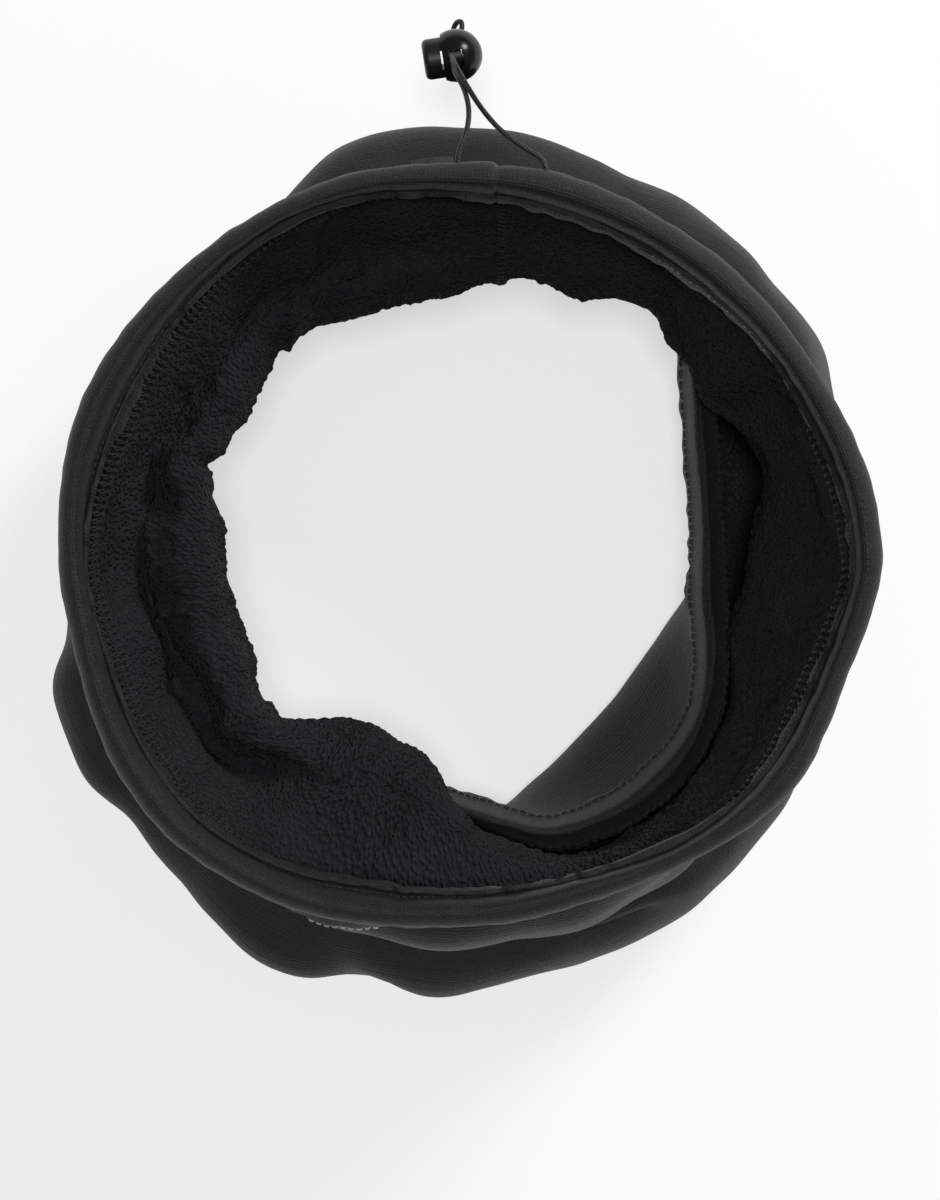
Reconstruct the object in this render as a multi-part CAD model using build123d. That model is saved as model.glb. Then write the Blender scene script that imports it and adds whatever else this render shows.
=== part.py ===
from build123d import *
import math
import os

# Neck gaiter: a tube of two-layer fabric that stands slumped on itself, with a
# drawcord in its top hem and a ball-shaped cord lock. Millimetres, +Z up. The
# origin is under the middle of the slumped tube, on the surface it stands on.

# ---- Driving sizes ----
BELLY_WIDTH = 190.0       # widest part of the slumped tube, along X
BELLY_DEPTH = 202.0       # the same along Y
TOP_WIDTH = 183.0         # top hem's fold, along X
TOP_DEPTH = 170.0         # the same along Y
TOP_CENTRE = (2.0, 4.0)   # the top hem sits a little off the middle
TOP_HEIGHT = 110.0        # height of the top hem's fold
BELLY_HEIGHT = 30.0       # height of the widest part
WAIST_WIDTH = 115.0       # inner fold of the slump, along X
WAIST_DEPTH = 121.0       # the same along Y
WAIST_HEIGHT = 64.0
CUFF_WIDTH = 114.0        # far end of the tube, turned up inside
CUFF_DEPTH = 118.0        # the same along Y
CUFF_HEIGHT = 34.0        # middle height of the cuff's edge
CUFF_RISE = 0.14          # slope of the cuff's edge, up towards +X and -Y
CUFF_FOLD_HEIGHT = 7.0    # where the wall turns up from the floor

SHELL_THICKNESS = 1.0
LINING_THICKNESS = 1.7
LAYER_GAP = 0.2           # between two layers of fabric
HEM_HEIGHT = 13.0         # fold to stitch line
HEM_OVERLAP = 4.0         # how far the wall reaches up between the hem's legs
HEM_FLARE = 5.0           # how much wider the fold is than the hem's open side
INNER_LEG_SHORTER = 1.2   # than the outer leg
THREAD_PROUD = 0.35       # how far a row of stitching stands out of the fabric
STITCH_WIDTH = 3.0        # width of a coverstitched row

CORD_DIAMETER = 1.2
CORD_CLEARANCE = 0.2      # round the cord where it passes a stitched exit
EXIT_WALL = 1.0           # width of the stitching round an exit
SEAM_X = 9.8              # the back seam, midway between the two cord exits
EXIT_SPREAD = 10.0        # from the back seam to each cord exit
EXIT_BELOW = 5.2          # from the top hem's fold to the cord's middle

BALL_DIAMETER = 12.0
BALL_CENTRE = Vector(-0.5, 114.8, 79.0)
MOUTH_OFFSET = 3.0        # ball's centre to the flat the button stands out of
MOUTH_RIM = 0.516         # ball's rim round the button's head
HEAD_LENGTH = 4.4         # button's head, outside the ball at rest
HEAD_STEP = 0.9           # from the head's side in to the stem's
STEM_LENGTH = 4.1         # behind the head
STEM_CLEARANCE = 0.08     # radial, round the stem and the head
BORE_WALL = 0.76          # ball's thinnest wall, at the bottom corner of the spring bore
PRESS_TRAVEL = 1.9        # how far the button goes in
PINCH_GAP = 0.1           # left round the cord where the slots hold it
STRAND_SPACING = 2.5      # between the two strands in the lock
SPRING_WIRE = 0.35
SPRING_DIAMETER = 3.6     # to the middle of the wire
SPRING_TURNS = 4

PATCH_WIDTH = 10.0
PATCH_HEIGHT = 7.0
PATCH_THICKNESS = 0.4
PATCH_X = -6.0

# ---- Lock's own directions ----
BUTTON_OUT = Vector(-0.989, -0.150, 0.0).normalized()
STRANDS_UP = Vector(0.09, -0.244, 0.966)
STRANDS_UP = (STRANDS_UP - BUTTON_OUT * STRANDS_UP.dot(BUTTON_OUT)).normalized()
STACK = BUTTON_OUT.cross(STRANDS_UP)
SLOT_WIDTH = CORD_DIAMETER + PINCH_GAP + PRESS_TRAVEL
SLOT_LENGTH = STRAND_SPACING + CORD_DIAMETER + 0.5
STRAND_OFFSET = (SLOT_WIDTH - CORD_DIAMETER - PINCH_GAP) / 2.0


def save(node, shape):
    """Write one sub-part to its own file."""
    os.makedirs("parts", exist_ok=True)
    export_step(shape, os.path.join("parts", node + ".step"))


# ---- Fabric rings ----
# A station is an ellipse round the tube: centre x, y, half width, half depth, height
# and the slope of its plane. A ring of fabric is the loop of stations round its section.
def station(width, depth, height, centre=(0.0, 0.0), slope=0.0):
    return (centre[0], centre[1], width / 2.0, depth / 2.0, height, slope)


def half_ellipses(place):
    """The station as two arcs, split on the X axis so that every station lines up."""
    cx, cy, half_width, half_depth, height, slope = place
    plane = Plane(origin=(cx, cy, height), x_dir=(1, 0, slope), z_dir=(-slope, slope, 1))
    return [
        Edge.make_ellipse(half_width, half_depth, plane=plane, start_angle=low, end_angle=low + 180)
        for low in (0, 180)
    ]


def level(before, after):
    """Whether two stations lie in one level plane."""
    return before[5] == after[5] == 0.0 and abs(before[4] - after[4]) < 1e-6


def ring(stations):
    """Closed ring of straight-sided bands between the stations, listed in turn."""
    bands = []
    for before, after in zip([stations[-1]] + stations, stations):
        if level(before, after):
            wide, narrow = sorted((before, after), key=lambda place: -place[2])
            bands.append(Face(Wire(half_ellipses(wide)), [Wire(half_ellipses(narrow))]))
        else:
            bands += [Face.make_surface_from_curves(low, high)
                      for low, high in zip(half_ellipses(before), half_ellipses(after))]
    return Solid(Shell(bands))


def moved(place, outward, upward):
    cx, cy, half_width, half_depth, height, slope = place
    return (cx, cy, half_width + outward, half_depth + outward, height + upward, slope)


def normals(places):
    """Outward direction of the wall's section at each station, mitred at the corners."""
    points = [((place[2] + place[3]) / 2.0, place[4]) for place in places]
    steps = []
    for (r0, z0), (r1, z1) in zip(points, points[1:]):
        length = math.hypot(r1 - r0, z1 - z0)
        steps.append(((z0 - z1) / length, (r1 - r0) / length))
    found = []
    for index in range(len(points)):
        before = steps[max(index - 1, 0)]
        after = steps[min(index, len(steps) - 1)]
        dot = before[0] * after[0] + before[1] * after[1]
        found.append(((before[0] + after[0]) / (1 + dot), (before[1] + after[1]) / (1 + dot)))
    return found


def layer(places, depth, thickness):
    """One layer of the wall, from depth inside its outer face."""
    outer = []
    inner = []
    for place, (out, up) in zip(places, normals(places)):
        outer.append(moved(place, -out * depth, -up * depth))
        inner.append(moved(place, -out * (depth + thickness), -up * (depth + thickness)))
    return outer, inner


def layer_solid(places, depth, thickness, first=0, last=None):
    """The layer as a solid, or the stretch of it from one station to another."""
    outer, inner = layer(places, depth, thickness)
    last = len(places) - 1 if last is None else last
    return ring(inner[first:last + 1][::-1] + outer[first:last + 1])


WALL_THICKNESS = SHELL_THICKNESS + LAYER_GAP + LINING_THICKNESS
HEM_WIDTH = WALL_THICKNESS + 2.0 * (SHELL_THICKNESS + LAYER_GAP)
MOUTH_HEIGHT = TOP_HEIGHT - HEM_HEIGHT


def funnel(share, height):
    """Upper wall's outer face: share 0 at the top hem's mouth, 1 at the waist."""
    centre = [value * (1.0 - share / 2.0) for value in TOP_CENTRE]
    mouth_width = TOP_WIDTH - HEM_FLARE - 2.0 * (SHELL_THICKNESS + LAYER_GAP)
    mouth_depth = TOP_DEPTH - HEM_FLARE - 2.0 * (SHELL_THICKNESS + LAYER_GAP)
    width = mouth_width + (WAIST_WIDTH - mouth_width) * share
    depth = mouth_depth + (WAIST_DEPTH - mouth_depth) * share
    return station(width, depth, height, centre)


def slump(share, height):
    """Lower wall's outer face: share 0 at the cuff, 1 at the belly."""
    width = CUFF_WIDTH + (BELLY_WIDTH - CUFF_WIDTH) * share
    depth = CUFF_DEPTH + (BELLY_DEPTH - CUFF_DEPTH) * share
    return station(width, depth, height)


def wall_stations():
    """Outer face of the whole wall, from inside the top hem to inside the bottom hem."""
    mouth = funnel(0.0, MOUTH_HEIGHT)
    drop = MOUTH_HEIGHT - WAIST_HEIGHT
    cuff_mouth = station(CUFF_WIDTH, CUFF_DEPTH, CUFF_HEIGHT - HEM_HEIGHT, slope=CUFF_RISE)
    return [
        moved(mouth, HEM_FLARE / 2.0 * HEM_OVERLAP / HEM_HEIGHT, HEM_OVERLAP),
        mouth,
        funnel(0.35, WAIST_HEIGHT + drop * 0.62),
        funnel(0.8, WAIST_HEIGHT + drop * 0.26),
        funnel(1.0, WAIST_HEIGHT),
        slump(0.1, WAIST_HEIGHT - 9.0),
        slump(0.65, BELLY_HEIGHT + 15.0),
        slump(0.95, BELLY_HEIGHT + 7.0),
        slump(1.0, BELLY_HEIGHT),
        slump(0.98, BELLY_HEIGHT * 0.4),
        slump(0.8, 0.0),
        slump(0.3, 0.0),
        moved(slump(0.0, CUFF_FOLD_HEIGHT), -1.0, 0.0),
        cuff_mouth,
        moved(cuff_mouth, 0.0, HEM_OVERLAP),
    ]


# The shell is one tube of knit. Its node ends and the next begins at each fold.
SHELL_STRETCHES = [
    ("shell_upper", 0, 4),      # top hem to the waist
    ("shell_slope", 4, 8),      # waist to the belly
    ("shell_base", 8, 11),      # belly to the floor, and in under it
    ("shell_turn_up", 11, 14),  # floor to the bottom hem
]


class Hem:
    """A folded band: two legs, joined by a rounded fold, with the wall's edge between."""

    def __init__(self, fold, mouth, side):
        self.fold = fold
        self.mouth = mouth
        self.side = side

    def place(self, across, below):
        """Station at a distance from the band's outer face and below its fold."""
        share = below / HEM_HEIGHT
        mixed = [a + (b - a) * share for a, b in zip(self.fold, self.mouth)]
        return moved(tuple(mixed), -self.side * across, 0.0)

    def band(self):
        width = HEM_WIDTH
        thick = SHELL_THICKNESS
        outside = [
            (width, HEM_HEIGHT - INNER_LEG_SHORTER),
            (width, 2.6),
            (width - 0.8, 0.8),
            (width / 2.0, 0.0),
            (0.8, 0.8),
            (0.0, 2.6),
            (0.0, HEM_HEIGHT),
        ]
        inside = [
            (thick, HEM_HEIGHT),
            (thick, 3.0),
            (thick + 0.6, 1.7),
            (width / 2.0, thick),
            (width - thick - 0.6, 1.7),
            (width - thick, 3.0),
            (width - thick, HEM_HEIGHT - INNER_LEG_SHORTER),
        ]
        return ring([self.place(*spot) for spot in outside + inside])

    def stitch_row(self, across):
        """A flat row of thread on a leg, near the wall's edge."""
        low = HEM_HEIGHT - INNER_LEG_SHORTER - 0.4
        high = low - STITCH_WIDTH
        spots = [(across, high), (across + THREAD_PROUD, high),
                 (across + THREAD_PROUD, low), (across, low)]
        return ring([self.place(*spot) for spot in spots])

    def stitching(self):
        return Compound([self.stitch_row(HEM_WIDTH), self.stitch_row(-THREAD_PROUD)])

    def spot(self, x, across, below):
        """Point on the back of the band, and the level direction out of it."""
        cx, cy, half_width, half_depth, height, _ = self.place(across, below)
        y = half_depth * math.sqrt(1.0 - ((x - cx) / half_width) ** 2)
        out = Vector((x - cx) / half_width ** 2, y / half_depth ** 2, 0).normalized()
        return Vector(x, cy + y, height), out


def top_hem_shape():
    mouth = moved(funnel(0.0, MOUTH_HEIGHT), SHELL_THICKNESS + LAYER_GAP, 0.0)
    return Hem(station(TOP_WIDTH, TOP_DEPTH, TOP_HEIGHT, TOP_CENTRE), mouth, 1.0)


def bottom_hem_shape():
    inward = -(SHELL_THICKNESS + LAYER_GAP)
    fold = moved(slump(0.0, CUFF_HEIGHT), inward, 0.0)
    mouth = moved(slump(0.0, CUFF_HEIGHT - HEM_HEIGHT), inward, 0.0)
    return Hem(fold[:5] + (CUFF_RISE,), mouth[:5] + (CUFF_RISE,), -1.0)


# ---- Drawcord ----
# The free stretch, from inside the left exit, down through the lock, round the bight
# and back up into the right exit. The straight stretches lie along the lock's slot.
BIGHT_DEPTH = 7.5         # lock's centre to where the strands start to turn
STRAIGHT_LENGTH = 16.5    # lock's centre to where they turn towards the hem
NEAR_STRAND = BALL_CENTRE + BUTTON_OUT * STRAND_OFFSET - STACK * (STRAND_SPACING / 2.0)
FAR_STRAND = BALL_CENTRE + BUTTON_OUT * STRAND_OFFSET + STACK * (STRAND_SPACING / 2.0)
LOOP_ROUTE = [
    Vector(-0.15, 85.3, 104.8),
    Vector(-0.25, 90.4, 104.7),
    Vector(1.9, 95.0, 103.6),
    Vector(2.6, 100.3, 101.2),
    Vector(1.5, 105.4, 98.2),
    NEAR_STRAND + STRANDS_UP * STRAIGHT_LENGTH,
    NEAR_STRAND - STRANDS_UP * BIGHT_DEPTH,
    Vector(-1.7, 118.6, 68.4),
    Vector(-0.9, 123.2, 68.6),
    Vector(1.0, 123.6, 70.9),
    Vector(0.6, 119.8, 71.2),
    FAR_STRAND - STRANDS_UP * BIGHT_DEPTH,
    FAR_STRAND + STRANDS_UP * STRAIGHT_LENGTH,
    Vector(2.2, 105.6, 99.0),
    Vector(5.7, 100.0, 101.8),
    Vector(9.8, 95.3, 103.5),
    Vector(14.9, 91.7, 104.3),
    Vector(20.2, 88.6, 104.8),
    Vector(19.27, 83.7, 104.8),
]


def cord_tube(route):
    """Straight runs joined by the largest arcs that they leave room for."""
    radii = []
    for before, corner, after in zip(route, route[1:], route[2:]):
        turn = math.radians((corner - before).get_angle(after - corner))
        run = min((corner - before).length, (after - corner).length)
        radii.append(0.45 * run / math.tan(turn / 2.0))
    path = FilletPolyline(*route, radius=radii)
    print("drawcord_loop radii", [round(radius, 1) for radius in radii])
    start = Plane(origin=route[0], z_dir=route[1] - route[0])
    tube = sweep(start * Circle(CORD_DIAMETER / 2.0), path=path)
    section = math.pi * CORD_DIAMETER ** 2 / 4.0
    print("drawcord_loop length", round(path.length, 2),
          "volume over section times length", round(tube.volume / section / path.length, 4))
    return tube


def channel_cord(hem):
    """The stretch inside the hem: all the way round, but for the gap between the exits."""
    across = HEM_WIDTH / 2.0
    radius = CORD_DIAMETER / 2.0
    corners = [math.radians(angle) for angle in range(0, 360, 45)]
    full = ring([hem.place(across + radius * math.cos(angle), EXIT_BELOW + radius * math.sin(angle))
                 for angle in corners])
    gap = 2.0 * EXIT_SPREAD + CORD_DIAMETER + PINCH_GAP
    return full - Pos(SEAM_X, TOP_DEPTH / 2.0, TOP_HEIGHT) * Box(gap, 30.0, 30.0)


# ---- Cord exits ----
def exit_plane(hem, x):
    point, out = hem.spot(x, SHELL_THICKNESS / 2.0, EXIT_BELOW)
    return Plane(origin=point, z_dir=out)


def exit_radius():
    return CORD_DIAMETER / 2.0 + CORD_CLEARANCE + EXIT_WALL


def cord_exit(hem, x):
    """Ring of stitching round a hole through the hem's outer leg."""
    length = SHELL_THICKNESS + 2.0 * THREAD_PROUD
    hole = CORD_DIAMETER / 2.0 + CORD_CLEARANCE
    return exit_plane(hem, x) * (Cylinder(exit_radius(), length) - Cylinder(hole, length))


def exit_cut(hem, x):
    return exit_plane(hem, x) * Cylinder(exit_radius(), 2.5 * SHELL_THICKNESS)


# ---- Back seam and patch ----
def back_y(place):
    cx, cy, half_width, half_depth, _, _ = place
    return cy + half_depth * math.sqrt(1.0 - ((SEAM_X - cx) / half_width) ** 2)


def back_z(place):
    return place[4] + place[5] * (SEAM_X - place[0] - (back_y(place) - place[1]))


def back_seam(places):
    """A flat row of thread down the lining, from hem to hem."""
    rows = []
    for row in layer(places, WALL_THICKNESS + 2.0 * LAYER_GAP, THREAD_PROUD):
        start = tuple(a + (b - a) * 0.2 for a, b in zip(row[1], row[2]))
        rows.append([start] + row[2:-2])
    outline = [(back_y(place), back_z(place)) for place in rows[0] + rows[1][::-1]]
    face = Plane(origin=(SEAM_X - STITCH_WIDTH / 2.0, 0, 0), x_dir=(0, 1, 0),
                 z_dir=(1, 0, 0)) * make_face(Polyline(*outline, close=True))
    return extrude(face, STITCH_WIDTH)


def blank_patch():
    """Plain patch that lies on the slope above the belly, at the back."""
    upper = slump(0.65, BELLY_HEIGHT + 15.0)
    lower = slump(0.95, BELLY_HEIGHT + 7.0)
    high = Vector(PATCH_X, upper[3] * math.sqrt(1 - (PATCH_X / upper[2]) ** 2), upper[4])
    low = Vector(PATCH_X, lower[3] * math.sqrt(1 - (PATCH_X / lower[2]) ** 2), lower[4])
    down = (low - high).normalized()
    turn = math.degrees(PATCH_X / lower[3])
    plane = Plane(origin=(high + low) * 0.5, x_dir=(1, 0, 0), z_dir=Vector(1, 0, 0).cross(down))
    plate = plane.rotated((0, 0, turn)) * Pos(0, 0, PATCH_THICKNESS / 2.0 + 2.0 * LAYER_GAP) * Box(
        PATCH_WIDTH, PATCH_HEIGHT, PATCH_THICKNESS)
    return plate


# ---- Cord lock ----
def lock_plane():
    """The lock's own frame: Z out along the button, Y up along the strands."""
    return Plane(origin=BALL_CENTRE, x_dir=BUTTON_OUT.cross(STRANDS_UP) * -1.0, z_dir=BUTTON_OUT)


def turned(radius, low, high):
    return Pos(0, 0, (low + high) / 2.0) * Cylinder(radius, high - low)


def cord_slot(low, height):
    return Pos(0, 0, (2.0 * low + height) / 2.0) * Box(SLOT_LENGTH, BALL_DIAMETER * 1.2, height)


BALL_RADIUS = BALL_DIAMETER / 2.0
MOUTH_RADIUS = math.sqrt(BALL_RADIUS ** 2 - MOUTH_OFFSET ** 2)
HEAD_RADIUS = MOUTH_RADIUS - MOUTH_RIM - STEM_CLEARANCE
STEM_RADIUS = HEAD_RADIUS - HEAD_STEP
BORE_RADIUS = STEM_RADIUS + STEM_CLEARANCE
BORE_DEPTH = math.sqrt(BALL_RADIUS ** 2 - BORE_RADIUS ** 2) - BORE_WALL
HEAD_BACK = MOUTH_OFFSET - 0.1       # back of the button's head, just inside the mouth
STEM_END = HEAD_BACK - STEM_LENGTH   # inner end of the button's stem


def lock_housing():
    ball = Sphere(BALL_RADIUS)
    ball -= turned(BALL_DIAMETER, MOUTH_OFFSET, MOUTH_OFFSET + BALL_DIAMETER)
    bore = turned(BORE_RADIUS, -BORE_DEPTH, MOUTH_OFFSET + 1.0)
    counterbore = turned(HEAD_RADIUS + STEM_CLEARANCE,
                         HEAD_BACK - PRESS_TRAVEL - 0.2, MOUTH_OFFSET + 1.0)
    return ball - bore - counterbore - cord_slot(-SLOT_WIDTH / 2.0, SLOT_WIDTH)


def lock_plunger():
    head = turned(HEAD_RADIUS, HEAD_BACK, MOUTH_OFFSET + HEAD_LENGTH)
    rim = head.edges().filter_by(GeomType.CIRCLE).sort_by(Axis.Z)[-1]
    head = fillet(rim, 1.3)
    stem = turned(STEM_RADIUS, STEM_END, HEAD_BACK + 0.5)
    pocket = turned(SPRING_DIAMETER / 2.0 + SPRING_WIRE, STEM_END, STEM_END + 0.8)
    return head + stem - pocket - cord_slot(PRESS_TRAVEL - SLOT_WIDTH / 2.0, SLOT_WIDTH)


def lock_spring():
    """Coil between the bottom of the bore and the stem's pocket."""
    low = -BORE_DEPTH + SPRING_WIRE / 2.0
    high = STEM_END + 0.8 - SPRING_WIRE / 2.0
    coil = Helix((high - low) / SPRING_TURNS, high - low, SPRING_DIAMETER / 2.0)
    start = Plane(origin=coil @ 0, z_dir=coil % 0)
    return Pos(0, 0, low) * sweep(start * Circle(SPRING_WIRE / 2.0), path=coil)


def build():
    places = wall_stations()
    top = top_hem_shape()
    bottom = bottom_hem_shape()
    exits = {"left": SEAM_X - EXIT_SPREAD, "right": SEAM_X + EXIT_SPREAD}

    for name, first, last in SHELL_STRETCHES:
        save(name, layer_solid(places, 0.0, SHELL_THICKNESS, first, last))
    save("fleece_lining", layer_solid(places, SHELL_THICKNESS + LAYER_GAP, LINING_THICKNESS))
    band = top.band()
    for side, x in exits.items():
        band -= exit_cut(top, x)
        save(side + "_cord_exit", cord_exit(top, x))
    save("top_hem", band)
    save("bottom_hem", bottom.band())
    save("top_hem_stitching", top.stitching())
    save("bottom_hem_stitching", bottom.stitching())
    save("back_seam_stitching", back_seam(places))
    save("blank_patch", blank_patch())
    save("drawcord", channel_cord(top))
    save("drawcord_loop", cord_tube(LOOP_ROUTE))
    plane = lock_plane()
    save("lock_housing", plane * lock_housing())
    save("lock_plunger", plane * lock_plunger())
    save("lock_spring", plane * lock_spring())


build()
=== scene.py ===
"""Neck gaiter: a slumped tube of smooth knit lined with waffle fleece.

The near hem carries an elastic drawcord that leaves it through two stitched
eyelets, runs down through a ball-shaped cord lock and turns round below it.
Every length here is in millimetres until a mesh is made, and in metres after.
"""
from __future__ import annotations

import logging
import math
from dataclasses import dataclass, field
from enum import Enum
from typing import Any, Callable, Sequence

import bpy
import numpy as np
from mathutils import Matrix, Vector

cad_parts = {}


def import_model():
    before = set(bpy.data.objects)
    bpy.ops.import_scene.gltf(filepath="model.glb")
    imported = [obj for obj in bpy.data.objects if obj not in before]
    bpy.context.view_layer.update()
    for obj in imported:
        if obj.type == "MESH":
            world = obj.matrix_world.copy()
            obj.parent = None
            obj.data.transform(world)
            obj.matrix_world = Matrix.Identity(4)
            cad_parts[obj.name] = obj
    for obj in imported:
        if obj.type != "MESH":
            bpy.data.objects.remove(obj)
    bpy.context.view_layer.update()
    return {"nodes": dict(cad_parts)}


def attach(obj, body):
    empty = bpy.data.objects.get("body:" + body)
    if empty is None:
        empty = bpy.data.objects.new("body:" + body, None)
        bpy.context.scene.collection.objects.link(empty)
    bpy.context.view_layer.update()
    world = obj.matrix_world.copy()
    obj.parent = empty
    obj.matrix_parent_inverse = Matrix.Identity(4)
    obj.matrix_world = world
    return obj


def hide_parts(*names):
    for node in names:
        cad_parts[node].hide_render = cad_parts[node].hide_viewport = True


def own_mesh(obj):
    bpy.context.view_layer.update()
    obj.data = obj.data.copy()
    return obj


LOG = logging.getLogger("neck_gaiter")
MM = 0.001
TURN = 2.0 * math.pi

SEAM_X = 9.8

GAITER = "gaiter"
CORD_LOCK = "cord_lock"


class Slot(str, Enum):
    """Material slots of the record, one for each kind of finish."""

    KNIT = "shell_knit"
    FLEECE = "waffle_fleece"
    THREAD = "thread"
    ELASTIC = "elastic_cord"
    LOCK = "lock_plastic"
    BUTTON = "button_plastic"
    STEEL = "spring_steel"
    PATCH = "patch_print"


# ---------------------------------------------------------------- round curves
@dataclass(frozen=True)
class Round:
    """A size that changes smoothly round the tube.

    Attributes:
        spots: Degrees from +X towards +Y, and the size there.
    """

    spots: dict[float, float]

    def at(self, degrees: np.ndarray) -> np.ndarray:
        """Size at each angle.

        Args:
            degrees: Angles, of any number of turns.

        Returns:
            One size per angle, on a smooth closed curve through the spots.
        """
        keys = np.array(sorted(self.spots), float)
        sizes = np.array([self.spots[k] for k in sorted(self.spots)], float)
        x = np.concatenate([keys[-2:] - 360.0, keys, keys[:2] + 360.0])
        y = np.concatenate([sizes[-2:], sizes, sizes[:2]])
        rise = np.diff(y) / np.diff(x)
        slope = np.zeros_like(x)
        before, after = rise[:-1], rise[1:]
        same = before * after > 0.0
        soft = 0.5 * (before + after)
        limit = 2.5 * np.minimum(abs(before), abs(after))
        slope[1:-1] = np.where(same, np.sign(soft) * np.minimum(abs(soft), limit), 0.2 * soft)
        a = np.mod(np.asarray(degrees, float), 360.0)
        i = np.clip(np.searchsorted(x, a, side="right") - 1, 0, len(x) - 2)
        h = x[i + 1] - x[i]
        s = (a - x[i]) / h
        return ((2 * s**3 - 3 * s**2 + 1) * y[i] + (s**3 - 2 * s**2 + s) * h * slope[i]
                + (3 * s**2 - 2 * s**3) * y[i + 1] + (s**3 - s**2) * h * slope[i + 1])


@dataclass(frozen=True)
class Uneven:
    """Soft seeded unevenness over a surface, from a sum of plain waves."""

    seed: int
    shortest: float
    longest: float
    waves: int = 26

    def over(self, around: np.ndarray, along: np.ndarray, girth: float) -> np.ndarray:
        """Unevenness between about -1 and 1.

        Args:
            around: Millimetres round the tube, closing at girth.
            along: Millimetres along the tube's wall.
            girth: Distance once round.

        Returns:
            One value for each place.
        """
        dice = np.random.default_rng(self.seed)
        total = np.zeros(np.broadcast(around, along).shape)
        for _ in range(self.waves):
            length = self.shortest * (self.longest / self.shortest) ** dice.random()
            heading = dice.uniform(0.0, math.pi)
            turns = round(girth * math.cos(heading) / length)
            total = total + np.sin(TURN * (turns * around / girth
                                           + along * math.sin(heading) / length
                                           + dice.random()))
        return total / math.sqrt(self.waves) / 1.2


# ------------------------------------------------------------------ mesh tools
def even_turn(count: int) -> np.ndarray:
    """Evenly spaced angles once round the tube, in degrees."""
    return np.arange(count) * 360.0 / count


def through(values: np.ndarray, steps: np.ndarray) -> np.ndarray:
    """Smooth curve through rows of values.

    Args:
        values: One row for each control place, [row, angle].
        steps: Places along the rows, counted in rows.

    Returns:
        The values there, [step, angle].
    """
    last = len(values) - 1
    i = np.clip(steps.astype(int), 0, last - 1)
    t = (steps - i)[:, None]
    p0, p1 = values[np.maximum(i - 1, 0)], values[i]
    p2, p3 = values[i + 1], values[np.minimum(i + 2, last)]
    return p1 + 0.5 * t * (p2 - p0 + t * (2 * p0 - 5 * p1 + 4 * p2 - p3
                                          + t * (3 * (p1 - p2) + p3 - p0)))


def square_to(places: np.ndarray) -> np.ndarray:
    """Unit directions square to a face that closes round the tube.

    Args:
        places: The face, [step, angle, xyz].

    Returns:
        Directions of the same shape: the way down the steps crossed with the way round.
    """
    down = np.gradient(places, axis=0)
    wide = np.roll(places, -1, axis=1) - np.roll(places, 1, axis=1)
    out = np.cross(down, wide)
    return out / np.linalg.norm(out, axis=-1, keepdims=True)


def run_along(face: np.ndarray) -> np.ndarray:
    """Mean distance of each row from the first, along a face of rows."""
    run = np.linalg.norm(np.diff(face, axis=0), axis=2).mean(axis=1)
    return np.concatenate([[0.0], run.cumsum()])


def piece_from(name: str, mesh: bpy.types.Mesh | bpy.types.Curve) -> bpy.types.Object:
    """New object at the origin that shows a mesh or a curve.

    Args:
        name: Name of the new object.
        mesh: What it shows.

    Returns:
        The object, linked to the scene.
    """
    made = bpy.data.objects.new(name, mesh)
    bpy.context.scene.collection.objects.link(made)
    return made


def turn_outwards(made: bpy.types.Object) -> None:
    """Points all of a closed piece's faces outwards.

    Args:
        made: The piece, which is left selected and active.
    """
    bpy.ops.object.select_all(action="DESELECT")
    made.select_set(True)
    bpy.context.view_layer.objects.active = made
    bpy.ops.object.mode_set(mode="EDIT")
    bpy.ops.mesh.select_all(action="SELECT")
    bpy.ops.mesh.normals_make_consistent(inside=False)
    bpy.ops.object.mode_set(mode="OBJECT")


def closed_grid(name: str, rings: np.ndarray, uv: np.ndarray) -> bpy.types.Object:
    """Ring-shaped solid from a closed loop of rings, as a hem or a wall layer is.

    Args:
        name: Name of the new object.
        rings: Places in millimetres, [ring, place round the ring, xyz].
        uv: Pattern coordinates, [ring + 1, place + 1, 2].

    Returns:
        The object, smooth shaded, with its faces outwards.
    """
    rows, cols = rings.shape[:2]
    j, i = np.meshgrid(np.arange(rows), np.arange(cols), indexing="ij")
    nj, ni = (j + 1) % rows, (i + 1) % cols
    faces = np.stack([j * cols + i, nj * cols + i, nj * cols + ni, j * cols + ni], -1)
    corners = np.stack([uv[j, i], uv[j + 1, i], uv[j + 1, i + 1], uv[j, i + 1]], 2)
    mesh = bpy.data.meshes.new(name)
    mesh.from_pydata((rings.reshape(-1, 3) * MM).tolist(), [], faces.reshape(-1, 4).tolist())
    layer = mesh.uv_layers.new(name="Weave")
    layer.data.foreach_set("uv", corners.reshape(-1).astype(np.float32))
    mesh.polygons.foreach_set("use_smooth", [True] * len(mesh.polygons))
    if signed_volume(rings, faces.reshape(-1, 4)) < 0.0:
        mesh.flip_normals()
    mesh.update()
    return piece_from(name, mesh)


def signed_volume(places: np.ndarray, faces: np.ndarray) -> float:
    """Volume inside a closed mesh, negative where its faces point inwards.

    Args:
        places: Places of its corners, of any grid shape.
        faces: Four corner numbers for each face.

    Returns:
        The volume.
    """
    v = places.reshape(-1, 3)
    a, b, c, d = (v[faces[:, k]] for k in range(4))
    return float((np.cross(a, b) * c + np.cross(a, c) * d).sum() / 6.0)


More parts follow.
